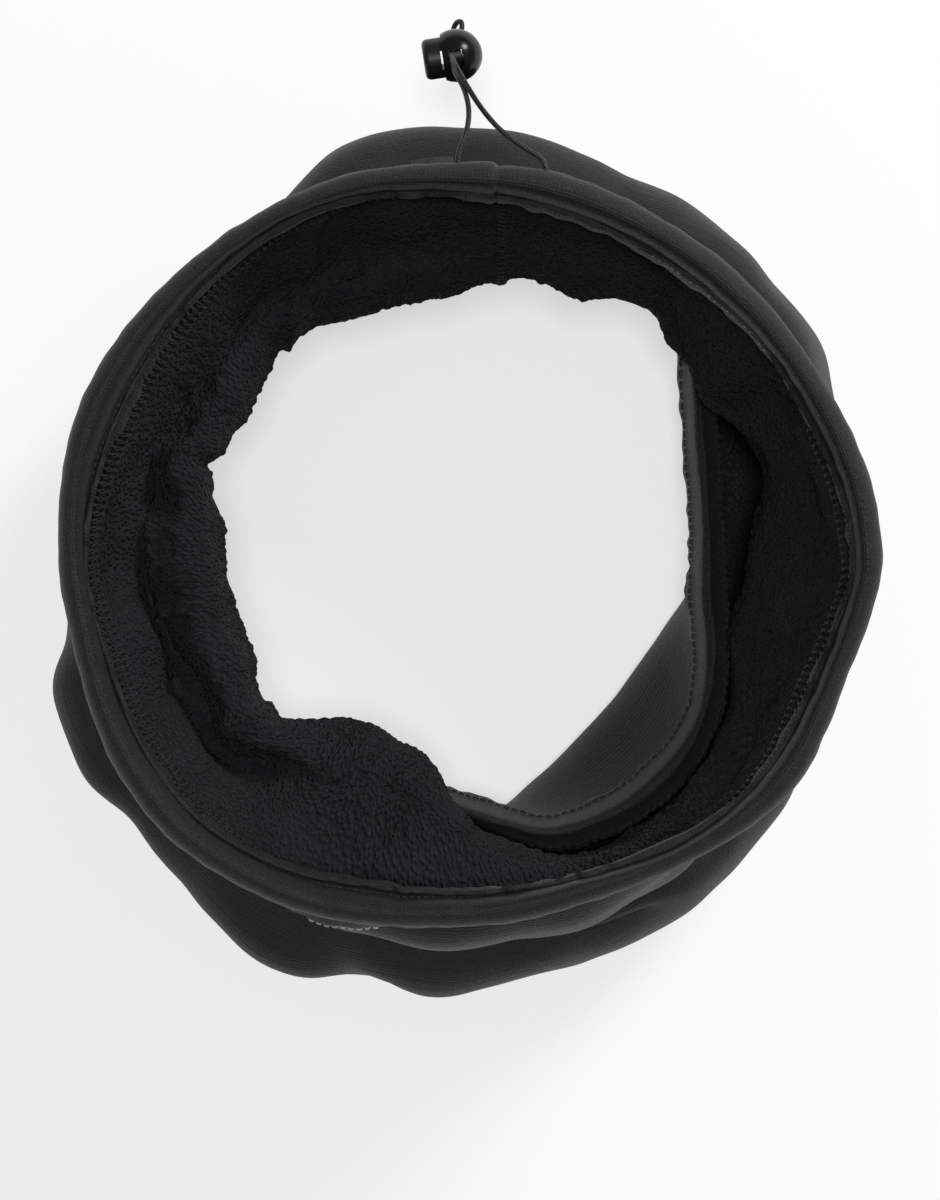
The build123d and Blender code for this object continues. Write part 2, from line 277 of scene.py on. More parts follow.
def cloth_layer(name: str, outer: np.ndarray, inner: np.ndarray, thin: int,
                girth: float) -> bpy.types.Object:
    """Closed layer of cloth round the tube, from its two faces.

    Args:
        name: Name of the new object.
        outer: The seen face in millimetres, [row, angle, xyz].
        inner: The hidden face, of the same shape.
        thin: How many rows of the hidden face go into one.
        girth: Distance once round, for the weave.

    Returns:
        The layer's object.
    """
    columns = outer.shape[1]
    along = run_along(outer)
    rings = np.concatenate([outer, inner[::thin][::-1]])
    uv = np.zeros((len(rings) + 1, columns + 1, 2))
    uv[..., 0] = (np.arange(columns + 1) / columns * girth)[None, :]
    uv[..., 1] = np.concatenate([along, along[::thin][::-1], along[:1]])[:, None]
    return closed_grid(name, rings, uv)


def round_places(radius: np.ndarray, height: np.ndarray, degrees: np.ndarray) -> np.ndarray:
    """Places from their radius, height and angle."""
    a = np.radians(degrees)
    return np.stack(np.broadcast_arrays(radius * np.cos(a), radius * np.sin(a), height), -1)


def tube_along(name: str, path: np.ndarray, radius: float, sides: int = 8) -> bpy.types.Object:
    """Round closed tube along a path.

    Args:
        name: Name of the new object.
        path: Places in millimetres, in order.
        radius: Tube's radius in millimetres.
        sides: Faces round the tube.

    Returns:
        The object, smooth shaded.
    """
    ahead = np.gradient(path, axis=0)
    ahead /= np.linalg.norm(ahead, axis=1)[:, None]
    side = np.cross(ahead, (0.0, 0.0, 1.0))
    side /= np.linalg.norm(side, axis=1)[:, None]
    up = np.cross(side, ahead)
    a = np.linspace(0.0, TURN, sides, endpoint=False)
    ring = (path[:, None] + radius * (np.cos(a)[None, :, None] * side[:, None]
                                      + np.sin(a)[None, :, None] * up[:, None]))
    rows = len(path)
    faces = [(j * sides + i, j * sides + (i + 1) % sides,
              (j + 1) * sides + (i + 1) % sides, (j + 1) * sides + i)
             for j in range(rows - 1) for i in range(sides)]
    faces += [tuple(range(sides))[::-1], tuple((rows - 1) * sides + i for i in range(sides))]
    mesh = bpy.data.meshes.new(name)
    mesh.from_pydata((ring.reshape(-1, 3) * MM).tolist(), [], faces)
    mesh.polygons.foreach_set("use_smooth", [True] * len(mesh.polygons))
    layer = mesh.uv_layers.new(name="Weave")
    along = np.concatenate([[0.0], np.linalg.norm(np.diff(path, axis=0), axis=1).cumsum()])
    for face in mesh.polygons:
        for loop in face.loop_indices:
            at = mesh.loops[loop].vertex_index
            layer.data[loop].uv = (along[at // sides], (at % sides) / sides)
    mesh.update()
    return piece_from(name, mesh)


def lifted(strip: tuple[np.ndarray, np.ndarray], row: int, column: int,
           lift: float) -> np.ndarray:
    """Place of a thread's end, a little way off a strip's face.

    Args:
        strip: The strip's places and its outward directions, each [row, angle, xyz].
        row: Row across the strip.
        column: Place round it, of any number of turns.
        lift: Distance off the face.

    Returns:
        The place.
    """
    places, out = strip
    column %= places.shape[1]
    return places[row, column] + out[row, column] * lift


# Share of a stitch's length, its thickness there and its lift, both in radii.
ARCH = ((0.0, 0.55, -0.2), (0.16, 0.95, 0.55), (0.5, 1.0, 1.0), (0.84, 0.95, 0.55),
        (1.0, 0.55, -0.2))


def stitches(name: str, ends: Sequence[tuple[np.ndarray, np.ndarray, np.ndarray]],
             radius: float, pale: Sequence[bool] = ()) -> bpy.types.Object:
    """A row of sewn stitches, each a short arched length of thread.

    Args:
        name: Name of the new object.
        ends: For each stitch its two ends and the way out of the cloth, in millimetres.
        radius: Thread's radius in millimetres.
        pale: Which stitches show the paler thread of the other face.

    Returns:
        The object, with a face attribute that marks its pale stitches.
    """
    places: list[np.ndarray] = []
    faces: list[tuple[int, ...]] = []
    shades: list[float] = []
    sides, rows = 6, len(ARCH)
    for index, (start, stop, out) in enumerate(ends):
        ahead = (stop - start) / np.linalg.norm(stop - start)
        side = np.cross(ahead, out)
        side /= np.linalg.norm(side)
        base = len(places)
        for share, width, lift in ARCH:
            middle = start + (stop - start) * share + out * radius * lift
            for k in range(sides):
                a = TURN * k / sides
                places.append(middle + radius * width * (math.cos(a) * side + math.sin(a) * out))
        made = [(base + j * sides + k, base + j * sides + (k + 1) % sides,
                 base + (j + 1) * sides + (k + 1) % sides, base + (j + 1) * sides + k)
                for j in range(rows - 1) for k in range(sides)]
        made += [tuple(base + k for k in range(sides))[::-1],
                 tuple(base + (rows - 1) * sides + k for k in range(sides))]
        faces += made
        shades += [1.0 if index < len(pale) and pale[index] else 0.0] * len(made)
    mesh = bpy.data.meshes.new(name)
    mesh.from_pydata((np.array(places) * MM).tolist(), [], faces)
    mesh.polygons.foreach_set("use_smooth", [True] * len(mesh.polygons))
    row = piece_from(name, mesh)
    turn_outwards(row)
    mesh.update()
    mesh.attributes.new("pale", "FLOAT", "FACE").data.foreach_set("value", shades)
    return row


# ---------------------------------------------------------------- shader tools
class Sock:
    """A shader socket that can be used in a Python expression."""

    def __init__(self, nodes: "Nodes", socket: bpy.types.NodeSocket) -> None:
        """Wraps an output socket of one material."""
        self.nodes, self.socket = nodes, socket

    def _math(self, operation: str, *terms: Any) -> "Sock":
        """Result of one Math node on the terms."""
        return self.nodes.make("ShaderNodeMath", {"operation": operation},
                               dict(enumerate(terms)))

    def __add__(self, other: Any) -> "Sock":
        """Sum."""
        return self._math("ADD", self, other)

    __radd__ = __add__

    def __sub__(self, other: Any) -> "Sock":
        """Difference."""
        return self._math("SUBTRACT", self, other)

    def __rsub__(self, other: Any) -> "Sock":
        """Difference the other way round."""
        return self._math("SUBTRACT", other, self)

    def __mul__(self, other: Any) -> "Sock":
        """Product."""
        return self._math("MULTIPLY", self, other)

    __rmul__ = __mul__

    def sine(self) -> "Sock":
        """Sine of a phase in radians."""
        return self._math("SINE", self)

    def between(self, low: float, high: float) -> "Sock":
        """Smooth step from 0 at low to 1 at high."""
        return self.nodes.make("ShaderNodeMapRange", {"interpolation_type": "SMOOTHSTEP"},
                               {0: self, 1: low, 2: high, 3: 0.0, 4: 1.0})


class Nodes:
    """Builds the nodes of one material."""

    def __init__(self, name: str) -> None:
        """Makes an empty material with a Principled shader.

        Args:
            name: Name of the material.
        """
        self.material = bpy.data.materials.new(name)
        self.material.use_nodes = True
        self.tree = self.material.node_tree
        self.shader = next(n for n in self.tree.nodes if n.type == "BSDF_PRINCIPLED")

    def make(self, kind: str, settings: dict[str, Any] | None = None,
             inputs: dict[Any, Any] | None = None, output: Any = 0) -> Sock:
        """Adds one node.

        Args:
            kind: Node's type.
            settings: Its settings, set first.
            inputs: Values or sockets for its inputs.
            output: Name or number of the wanted output.

        Returns:
            The output, ready for an expression.
        """
        node = self.tree.nodes.new(kind)
        for key, value in (settings or {}).items():
            setattr(node, key, value)
        for key, value in (inputs or {}).items():
            if isinstance(value, Sock):
                self.tree.links.new(value.socket, node.inputs[key])
            else:
                node.inputs[key].default_value = value
        return Sock(self, node.outputs[output])

    def constant(self, **values: Any) -> None:
        """Sets plain values on the shader, with _ for a space in a socket's name."""
        for key, value in values.items():
            self.shader.inputs[key.replace("_", " ")].default_value = value

    def feed(self, socket: str, value: Sock) -> None:
        """Links a varying value to the shader."""
        self.tree.links.new(value.socket, self.shader.inputs[socket])

    def place(self) -> Sock:
        """Object coordinates, in metres."""
        return self.make("ShaderNodeTexCoord", output="Object")

    def weave(self) -> tuple[Sock, Sock]:
        """The piece's own pattern coordinates.

        Returns:
            The coordinate across the pattern and the one along it.
        """
        uv = self.make("ShaderNodeUVMap", {"uv_map": "Weave"})
        split = self.make("ShaderNodeSeparateXYZ", None, {0: uv})
        return split, Sock(self, split.socket.node.outputs[1])

    def noise(self, where: Sock, scale: float, detail: float = 2.0) -> Sock:
        """Soft noise between 0 and 1."""
        return self.make("ShaderNodeTexNoise", None,
                         {"Vector": where, "Scale": scale, "Detail": detail})

    def stretch(self, across: Any, along: Any) -> Sock:
        """A place from two numbers."""
        return self.make("ShaderNodeCombineXYZ", None, {0: across, 1: along})

    def shade(self, share: Sock, dark: Sequence[float], light: Sequence[float]) -> Sock:
        """Colour between two, by a share."""
        return self.make("ShaderNodeMix", {"data_type": "RGBA"},
                         {0: share, 6: (*dark, 1.0), 7: (*light, 1.0)}, output=2)

    def bump(self, height: Sock, distance: float, strength: float) -> None:
        """Feeds a bump into the shader's normal.

        Args:
            height: Where the surface is high, from 0 to 1.
            distance: Its height there, in metres.
            strength: How much of it is felt.
        """
        self.feed("Normal", self.make("ShaderNodeBump", None,
                                      {"Height": height, "Distance": distance,
                                       "Strength": strength}))


@dataclass(frozen=True)
class Knit:
    """Smooth face fabric: fine wales, slight streaks and lint."""

    dark: tuple[float, float, float] = (0.0060, 0.0060, 0.0067)
    light: tuple[float, float, float] = (0.0250, 0.0250, 0.0268)
    wale: float = 0.62
    course: float = 0.9

    def material(self) -> bpy.types.Material:
        """Builds the fabric.

        Returns:
            The finish, ready to wear.
        """
        n = Nodes("smooth_knit")
        across, along = n.weave()
        rib = (along * (TURN / self.wale)).sine() * 0.5 + 0.5
        loop = (across * (TURN / self.course) + (along * (math.pi / self.wale)).sine() * 1.2
                ).sine() * 0.5 + 0.5
        streak = n.noise(n.stretch(across * 0.035, along * 1.3), 1.0, 3.0)
        mottle = n.noise(n.place(), 90.0, 3.0)
        lint = n.noise(n.place(), 1500.0, 2.0)
        grain = n.noise(n.place(), 3200.0, 1.0)
        share = (rib * 0.06 + loop * 0.04 + streak * 0.34 + mottle * 0.22 + lint * 0.40
                 + grain * 0.55 - 0.35)
        n.feed("Base Color", n.shade(share.between(-0.05, 1.05), self.dark, self.light))
        n.feed("Roughness", 0.66 - lint * 0.18)
        n.constant(Sheen_Weight=0.05, Sheen_Roughness=0.4, Specular_IOR_Level=0.34)
        n.bump(rib * 0.25 + loop * 0.2 + streak * 0.5 + lint * 0.8 + grain * 0.9, 0.00024, 0.9)
        return n.material


@dataclass(frozen=True)
class Fleece:
    """Waffle fleece: rows of small pebbles, with painted shade in the gaps between them."""

    # gap is the dark end of the colour: painted shade between the pebbles, and darker random tone.
    gap: tuple[float, float, float] = (0.0078, 0.0075, 0.0090)
    # top is the light end of the colour: the unshaded pebble tops, and lighter random tone.
    top: tuple[float, float, float] = (0.0450, 0.0430, 0.0530)

    def material(self) -> bpy.types.Material:
        """Builds the fleece.

        Returns:
            The finish, ready to wear.
        """
        n = Nodes("waffle_fleece")
        u, v = n.weave()
        where = n.stretch(u, v)
        drift = n.noise(where, 0.9, 2.0)
        cells = n.make("ShaderNodeTexVoronoi", {"voronoi_dimensions": "2D",
                                                "feature": "SMOOTH_F1"},
                       {"Vector": n.stretch(u + v * 0.5 + drift * 0.7, v - u * 0.5 + drift * 0.5),
                        "Scale": 1.5, "Randomness": 0.8, "Smoothness": 0.4})
        # Pebble mask: it raises the bump, and in the colour it paints shade into the gaps.
        pebble = (0.60 - cells).between(0.0, 0.60)
        fuzz = n.noise(n.place(), 2300.0, 2.0)
        mottle = n.noise(n.place(), 75.0, 3.0)
        # In the colour the pebble term is painted shade in the gaps; fuzz and mottle are random
        # tone.
        share = pebble * 0.24 + fuzz * 0.36 + mottle * 0.50 - 0.10
        n.feed("Base Color", n.shade(share.between(-0.05, 1.05), self.gap, self.top))
        n.constant(Roughness=0.92, Sheen_Weight=0.05, Sheen_Roughness=0.5,
                   Specular_IOR_Level=0.12)
        n.bump(pebble * 1.0 + fuzz * 0.30, 0.00150, 1.0)
        return n.material


@dataclass(frozen=True)
class Thread:
    """Twisted sewing thread."""

    name: str
    dark: tuple[float, float, float]
    light: tuple[float, float, float]

    def material(self) -> bpy.types.Material:
        """Builds the thread.

        Returns:
            The finish, ready to wear.
        """
        n = Nodes(self.name)
        twist = n.noise(n.place(), 2400.0, 2.0)
        patch = n.noise(n.place(), 130.0, 2.0)
        n.feed("Base Color", n.shade((twist * 0.7 + patch * 0.5 - 0.1).between(0.1, 0.9),
                                     self.dark, self.light))
        n.constant(Roughness=0.62, Sheen_Weight=0.05, Specular_IOR_Level=0.3)
        n.bump(twist, 0.00008, 0.7)
        return n.material


@dataclass(frozen=True)
class Elastic:
    """Smooth braided elastic cord."""

    dark: tuple[float, float, float] = (0.006, 0.006, 0.007)
    light: tuple[float, float, float] = (0.030, 0.030, 0.033)

    def material(self) -> bpy.types.Material:
        """Builds the cord's braid.

        Returns:
            The finish, ready to wear.
        """
        n = Nodes("braided_elastic")
        place = n.place()
        wave = n.make("ShaderNodeTexWave", {"wave_type": "BANDS", "bands_direction": "DIAGONAL"},
                      {"Vector": place, "Scale": 620.0, "Distortion": 1.5, "Detail": 1.0},
                      output=1)
        wear = n.noise(place, 300.0, 2.0)
        n.feed("Base Color", n.shade((wave * 0.6 + wear * 0.5 - 0.1).between(0.1, 0.9),
                                     self.dark, self.light))
        n.feed("Roughness", 0.42 + wear * 0.2)
        n.constant(Specular_IOR_Level=0.4, Sheen_Weight=0.03)
        n.bump(wave, 0.00006, 0.6)
        return n.material


@dataclass(frozen=True)
class Gloss:
    """Polished moulded plastic with faint flow marks and handling wear."""

    name: str
    colour: tuple[float, float, float]
    worn: tuple[float, float, float]
    roughness: float = 0.16

    def material(self) -> bpy.types.Material:
        """Builds the plastic.

        Returns:
            The finish, ready to wear.
        """
        n = Nodes(self.name)
        place = n.place()
        flow = n.noise(place, 160.0, 3.0)
        scuff = n.noise(place, 1500.0, 3.0).between(0.62, 0.78)
        n.feed("Base Color", n.shade((flow * 0.6 + scuff * 0.3).between(0.1, 0.9),
                                     self.colour, self.worn))
        n.feed("Roughness", self.roughness + flow * 0.06 + scuff * 0.10)
        n.constant(Specular_IOR_Level=0.34)
        n.bump(flow, 0.00004, 0.35)
        return n.material


@dataclass(frozen=True)
class Steel:
    """Drawn spring wire."""

    def material(self) -> bpy.types.Material:
        """Builds the wire.

        Returns:
            The finish, ready to wear.
        """
        n = Nodes("spring_wire")
        drawn = n.noise(n.place(), 1800.0, 2.0)
        n.feed("Base Color", n.shade(drawn, (0.32, 0.32, 0.34), (0.62, 0.62, 0.64)))
        n.feed("Roughness", 0.25 + drawn * 0.2)
        n.constant(Metallic=1.0)
        n.bump(drawn, 0.00002, 0.4)
        return n.material


@dataclass(frozen=True)
class Film:
    """Thin pressed-on film over the knit."""

    def material(self) -> bpy.types.Material:
        """Builds the film.

        Returns:
            The finish, ready to wear.
        """
        n = Nodes("pressed_film")
        place = n.place()
        grain = n.noise(place, 1300.0, 2.0)
        wear = n.noise(place, 320.0, 3.0)
        n.feed("Base Color", n.shade((grain * 0.4 + wear * 0.6).between(0.25, 0.8),
                                     (0.022, 0.022, 0.024), (0.046, 0.046, 0.049)))
        n.feed("Roughness", 0.48 + wear * 0.2)
        n.bump(grain, 0.00006, 0.5)
        return n.material


@dataclass(frozen=True)
class Paper:
    """Plain pale floor."""

    def material(self) -> bpy.types.Material:
        """Builds the floor's finish.

        Returns:
            The finish, ready to wear.
        """
        n = Nodes("pale_floor")
        cloud = n.noise(n.place(), 1.5, 1.0)
        n.feed("Base Color", n.shade(cloud, (0.49, 0.49, 0.49), (0.51, 0.51, 0.51)))
        n.constant(Roughness=0.9, Specular_IOR_Level=0.1, Emission_Strength=0.60,
                   Emission_Color=(1.0, 1.0, 1.0, 1.0))
        return n.material


@dataclass(frozen=True)
class Finishes:
    """Every finish, made once."""

    knit: bpy.types.Material
    fleece: bpy.types.Material
    thread: bpy.types.Material
    pale_thread: bpy.types.Material
    elastic: bpy.types.Material
    ball: bpy.types.Material
    button: bpy.types.Material
    steel: bpy.types.Material
    film: bpy.types.Material

    @classmethod
    def make(cls) -> "Finishes":
        """Makes the materials.

        Returns:
            Every finish.
        """
        return cls(
            knit=Knit().material(),
            fleece=Fleece().material(),
            thread=Thread("dark_thread", (0.008, 0.008, 0.009), (0.032, 0.032, 0.036)).material(),
            pale_thread=Thread("pale_thread", (0.30, 0.30, 0.30), (0.70, 0.70, 0.69)).material(),
            elastic=Elastic().material(),
            ball=Gloss("ball_plastic", (0.004, 0.004, 0.0045), (0.012, 0.012, 0.013),
                      0.20).material(),
            button=Gloss("button_plastic", (0.006, 0.006, 0.0075), (0.018, 0.018, 0.021),
                         0.38).material(),
            steel=Steel().material(),
            film=Film().material(),
        )


def dress(piece: bpy.types.Object, *materials: bpy.types.Material) -> None:
    """Gives a piece its materials, and its pale faces the second one.

    Args:
        piece: The piece.
        materials: One material, or a second one for the faces marked as pale.
    """
    piece.data.materials.clear()
    for material in materials:
        piece.data.materials.append(material)
    if piece.type == "MESH" and "pale" in piece.data.attributes and len(materials) > 1:
        shades = np.zeros(len(piece.data.polygons), np.float32)
        piece.data.attributes["pale"].data.foreach_get("value", shades)
        piece.data.polygons.foreach_set("material_index", (shades > 0.5).astype(np.int32))
        piece.data.attributes.remove(piece.data.attributes["pale"])


def settle(piece: bpy.types.Object, body: str, slot: Slot, *nodes: str) -> None:
    """Lets a piece ride a body and stand for CAD nodes.

    Args:
        piece: The new piece.
        body: Body that it moves with.
        slot: Material slot of the record; not used.
        nodes: CAD nodes that it replaces.
    """
    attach(piece, body)
    if nodes:
        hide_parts(*nodes)
    LOG.info("%s rides %s, stands for %s", piece.name, body, ", ".join(nodes) or "nothing")


# ------------------------------------------------------------------- the shape
def soften(values: np.ndarray, times: int = 7) -> np.ndarray:
    """Evens out the tightest folds of a wall, which a second layer can't follow.

    Args:
        values: Places or directions, [step, angle, xyz].
        times: How often each is mixed with its neighbours.

    Returns:
        The evened values, in the same shape.
    """
    for _ in range(times):
        values = 0.25 * (np.roll(values, 1, 1) + np.roll(values, -1, 1)) + 0.5 * values
        inner = 0.125 * (values[:-2] + values[2:]) + 0.75 * values[1:-1]
        values = np.concatenate([values[:1], inner, values[-1:]])
    return values


@dataclass(frozen=True)
class Crease:
    """A soft ridge or groove in the wall, from one spot to another."""

    start: tuple[float, float]
    stop: tuple[float, float]
    width: float
    rise: float

    def over(self, degrees: np.ndarray, row: np.ndarray, girth: float) -> np.ndarray:
        """How far the wall stands towards its lining side.

        Args:
            degrees: Angle of each place.
            row: Its place along the wall, in control rows.
            girth: Distance once round, for the distance between angles.

        Returns:
            Millimetres for each place.
        """
        scale_a, scale_r = girth / 360.0, 8.0
        ax, ay = self.start[0] * scale_a, self.start[1] * scale_r
        bx, by = self.stop[0] * scale_a, self.stop[1] * scale_r
        turn = np.mod(degrees - self.start[0] + 180.0, 360.0) - 180.0 + self.start[0]
        px, py = turn * scale_a, row * scale_r
        length = math.hypot(bx - ax, by - ay)
        share = np.clip(((px - ax) * (bx - ax) + (py - ay) * (by - ay)) / length**2, 0.0, 1.0)
        gap = np.hypot(px - ax - share * (bx - ax), py - ay - share * (by - ay))
        return self.rise * np.exp(-((gap / self.width) ** 2))


@dataclass
class Wall:
    """The whole wall of the slumped tube: its lining face, and the layers behind it.

    Attributes:
        shell: Thickness of the face fabric.
        lining: Thickness of the fleece.
        gap: Room between the two.
        girth: Distance once round, for patterns.
        last: The last control row.
        row_long: Usual distance from one control row to the next, for the unevenness.
        hem_edge: Radius of the top hem's inner edge.
        lip: Radius of the innermost line of the open slope.
        lip_height: Height of that line.
        belly: Outer radius where the slump is widest.
        valley: How deep the slope dips behind the lip.
        puff: How far the wall puffs up above the belly.
        bulge: How far the wall leans in just under the hem.
        cuff_edge: Radius of the turned-up end's fold.
        cuff_height: Height of that fold.
        cuff_base: Radius of the turned-up end near the floor.
        soft: Broad unevenness of the cloth.
        fine: Small unevenness of the cloth.
        creases: Folds one by one, as angle and control row at both ends.
    """

    shell: float = 1.0
    lining: float = 1.7
    gap: float = 0.2
    girth: float = 500.0
    last: float = 23.0
    row_long: float = 7.0
    hem_edge: Round = Round({
        0: 87.6, 23: 83.4, 37: 82.7, 60: 80.1, 78: 80.6, 92: 81.6, 114: 84.6, 135: 82,
        154: 80.5, 180: 82.6, 197: 79.8, 221: 80.1, 231: 78.7, 245: 75.1, 256: 72.5,
        278: 72.3, 290: 74.0, 302: 76.4, 313: 79.4, 323: 81.3, 341: 82.4, 350: 84.2})
    lip: Round = Round({
        0: 66.2, 6: 68.2, 19: 73.4, 27: 70.5, 35: 66.6, 41: 69.1, 46: 70.5, 52: 72.6, 64: 67.0,
        74: 66.8, 90: 61.6, 101: 60.6, 119: 61.5, 129: 64.4, 134: 62.5, 142: 60.2, 154: 59.6,
        159: 62.8, 163: 60.3, 167: 56.4, 174: 54, 186: 52.9, 204: 50.6, 211: 53.2, 216: 55.4,
        220: 54.2, 227: 48.2, 235: 44, 246: 41.8, 254: 43, 264: 47.8, 269: 54.5, 278: 62.6,
        288: 69.6, 300: 73.6, 312: 73.9, 324: 72.7, 334: 68.7, 342: 65.8, 350: 64.6})
    lip_height: Round = Round({
        0: 43, 20: 46, 40: 54, 60: 60, 150: 60, 217: 60, 240: 61, 262: 59, 272: 55, 285: 48,
        300: 44, 330: 42})
    belly: Round = Round({
        0: 90, 15: 92, 24: 96, 35: 100.5, 45: 100, 65: 100.3, 80: 102.2, 105: 100.7, 110: 98.5,
        125: 90, 150: 88, 180: 88, 191: 93.6, 198: 99.4, 210: 99.6, 216: 96.9, 228: 99,
        240: 102.2, 247: 102.6, 258: 99.8, 270: 101, 283: 98.8, 309: 97.2, 324: 96, 332: 92.5,
        345: 90})
    valley: Round = Round({0: 0, 60: 0.15, 100: 0.35, 135: 0.6, 155: 1, 215: 1, 236: 0.6,
                           262: 0.35, 285: 0.05, 330: 0})
    puff: Round = Round({0: 0, 20: 0.25, 40: 1, 56: 0.8, 75: 0.1, 120: 0, 240: 0.0, 260: 0.2,
                         300: 0.2, 330: 0})
    bulge: Round = Round({0: 1.5, 40: 7, 60: 9, 85: 6.5, 110: 1.0, 225: 0, 240: 9, 252: 16,
                          270: 18, 288: 16, 303: 11, 318: 5, 335: 1})
    cuff_edge: Round = Round({
        0: 56.5, 26: 61.4, 38: 69.0, 45: 76.0, 52: 79.0, 62: 76.5, 74: 74.0, 90: 70.5, 119: 69.5,
        129: 71.8, 142: 67.8, 159: 70.0, 168: 65.0, 186: 61.5, 204: 60.0, 216: 64.0, 227: 57.5,
        240: 54.5, 265: 55.0, 278: 58.8, 289: 64.4, 299: 66.1, 309: 67.0, 321: 66.5, 330: 64.6,
        342: 60.6, 354: 56.8})
    cuff_height: Round = Round({0: 45, 26: 46, 38: 42, 60: 34, 120: 32, 240: 34, 262: 37, 278: 43,
                                300: 45, 330: 46})
    cuff_base: Round = Round({0: 57.4, 26: 62, 36: 69, 45: 75, 52: 76, 62: 74, 75: 73, 90: 69,
                              119: 67, 130: 70, 142: 66, 158: 68, 170: 62, 180: 59,
                              215: 60, 240: 54, 265: 57, 278: 58.6,
                              290: 54, 304: 49.9, 322: 48.6, 341: 50.5})
    soft: Uneven = Uneven(11, 24.0, 95.0)
    fine: Uneven = Uneven(5, 8.0, 22.0)
    creases: tuple[Crease, ...] = (
        Crease((149, 4.2), (176, 4.25), 3.8, -1.1),
        Crease((176, 4.25), (204, 4.3), 3.6, -1.8),
        Crease((204, 4.3), (226, 4.6), 4.0, -1.8),
        Crease((226, 4.6), (243, 4.5), 4.6, -1.3),
        Crease((252, 3.4), (260, 8.0), 4.2, -3.0),
        Crease((236, 4.0), (244, 7.4), 6.5, 2.2),
        Crease((266, 4.0), (270, 7.2), 5.0, 2.0),
        Crease((226, 5.0), (258, 6.2), 4.0, -1.5),
        Crease((111, 1.6), (128, 8.4), 2.6, 1.9),
        Crease((104, 1.8), (119, 8.2), 6.0, -2.8),
        Crease((232, 11.4), (261, 13.7), 3.4, 4.2),
        Crease((36, 11.5), (64, 12.4), 3.6, 3.0),
        Crease((206, 12.0), (222, 12.8), 4.0, 2.4),
        Crease((262, 11.4), (296, 12.4), 4.0, 2.6),
        Crease((136, 3.0), (146, 8.0), 6.0, 1.4),
        Crease((163, 6.0), (161, 8.6), 4.0, 2.0),
        Crease((216, 6.0), (217, 8.8), 4.0, 2.4),
        Crease((172, 4.6), (205, 5.6), 5.0, 1.4),
        Crease((60, 2.4), (48, 7.4), 4.5, -2.4),
        Crease((72, 3.0), (66, 8.0), 5.5, 1.6),
        Crease((24, 2.0), (30, 7.4), 4.0, -2.6),
        Crease((10, 2.4), (356, 7.0), 6.0, 1.8),
        Crease((340, 3.0), (332, 7.4), 4.5, -1.6),
        Crease((310, 2.5), (318, 7.0), 5.0, 1.6),
        Crease((40, 11.4), (66, 12.2), 5.0, 3.0),
        Crease((232, 12.3), (262, 13.4), 5.0, -2.4),
        Crease((262, 12.0), (300, 12.6), 6.0, 2.2),
        Crease((196, 12.6), (214, 13.6), 5.0, -1.8),
        Crease((118, 12.2), (132, 13.8), 6.0, 1.6),
        Crease((10, 13.0), (30, 14.4), 6.0, -1.6),
        Crease((150, 13.0), (186, 14.2), 7.0, -1.6),
        Crease((320, 12.4), (344, 14.0), 7.0, 1.8),
        Crease((84, 12.6), (104, 14.6), 6.0, -1.5),
    )

    def rows(self, degrees: np.ndarray) -> tuple[np.ndarray, np.ndarray]:
        """Control rows of the lining's face, from inside the top hem to inside the bottom hem.

        Args:
            degrees: Angles round the tube.

        Returns:
            Radius and height, each [row, angle].
        """
        s, h, hz = (c.at(degrees) for c in (self.hem_edge, self.lip, self.lip_height))
        b = self.belly.at(degrees) - self.shell - self.gap - self.lining
        v, puff, bulge = (c.at(degrees) for c in (self.valley, self.puff, self.bulge))
        e, ez, base = (c.at(degrees) for c in (self.cuff_edge, self.cuff_height, self.cuff_base))
        top = 97.0

        def fall(plain: float, dipped: float) -> np.ndarray:
            """Height of a row, between a plain slope and one with a dip."""
            return top - (top - hz) * (plain * (1.0 - v) + dipped * v)

        pairs = [
            # Inside the top hem, then down the open slope to the lip.
            (s + 2.3, top + 3.6 + 0 * s),
            (s + 1.3, top + 0 * s),
            (s - 1.8 + 0.60 * bulge, fall(0.12, 0.12)),
            (s - 4.3 + 0.85 * bulge, fall(0.28, 0.36)),
            (s + (h - s) * 0.36 + 0.38 * bulge, fall(0.44, 0.74)),
            (s + (h - s) * 0.50, fall(0.58, 0.72)),
            (s + (h - s) * 0.68, fall(0.70, 0.55)),
            (s + (h - s) * 0.87, fall(0.80, 0.61)),
            (h + 0.5, hz + 5.0),
            (h, hz),
            # Back under the lip and out to the belly.
            (h + 2.6, hz - 5.5),
            (h + (b - h) * 0.36, 0.6 * (hz - 8.0) + 0.4 * 45.0 + 7.0 * puff),
            (h + (b - h) * 0.68 + 3.0 * puff, 43.5 + 0.12 * (hz - 60.0) + 16.0 * puff),
            (b - 2.0 + 0.5 * puff, 37.0 + 11.0 * puff),
            (b, 29.0 + 0 * s),
            # Down to the floor and in along it.
            (b - 1.2, 14.0 + 0 * s),
            (b * 0.945, 5.2 + 0 * s),
            (b * 0.86, 3.0 + 0 * s),
            (np.minimum(base + 10.0, b * 0.86 - 3.0), 3.0 + 0 * s),
            # Up the turned-up end to the bottom hem.
            (base + 4.2, 6.0 + 0 * s),
            (base + 3.4, 13.0 + 0 * s),
            (base * 0.45 + e * 0.55 + 4.4, 0.5 * (13.0 + ez - 10.5)),
            (e + 5.0, ez - 10.5),
            (e + 3.4, ez - 5.2),
        ]
        radius, height = (np.array(values) for values in zip(*pairs))
        return radius, height

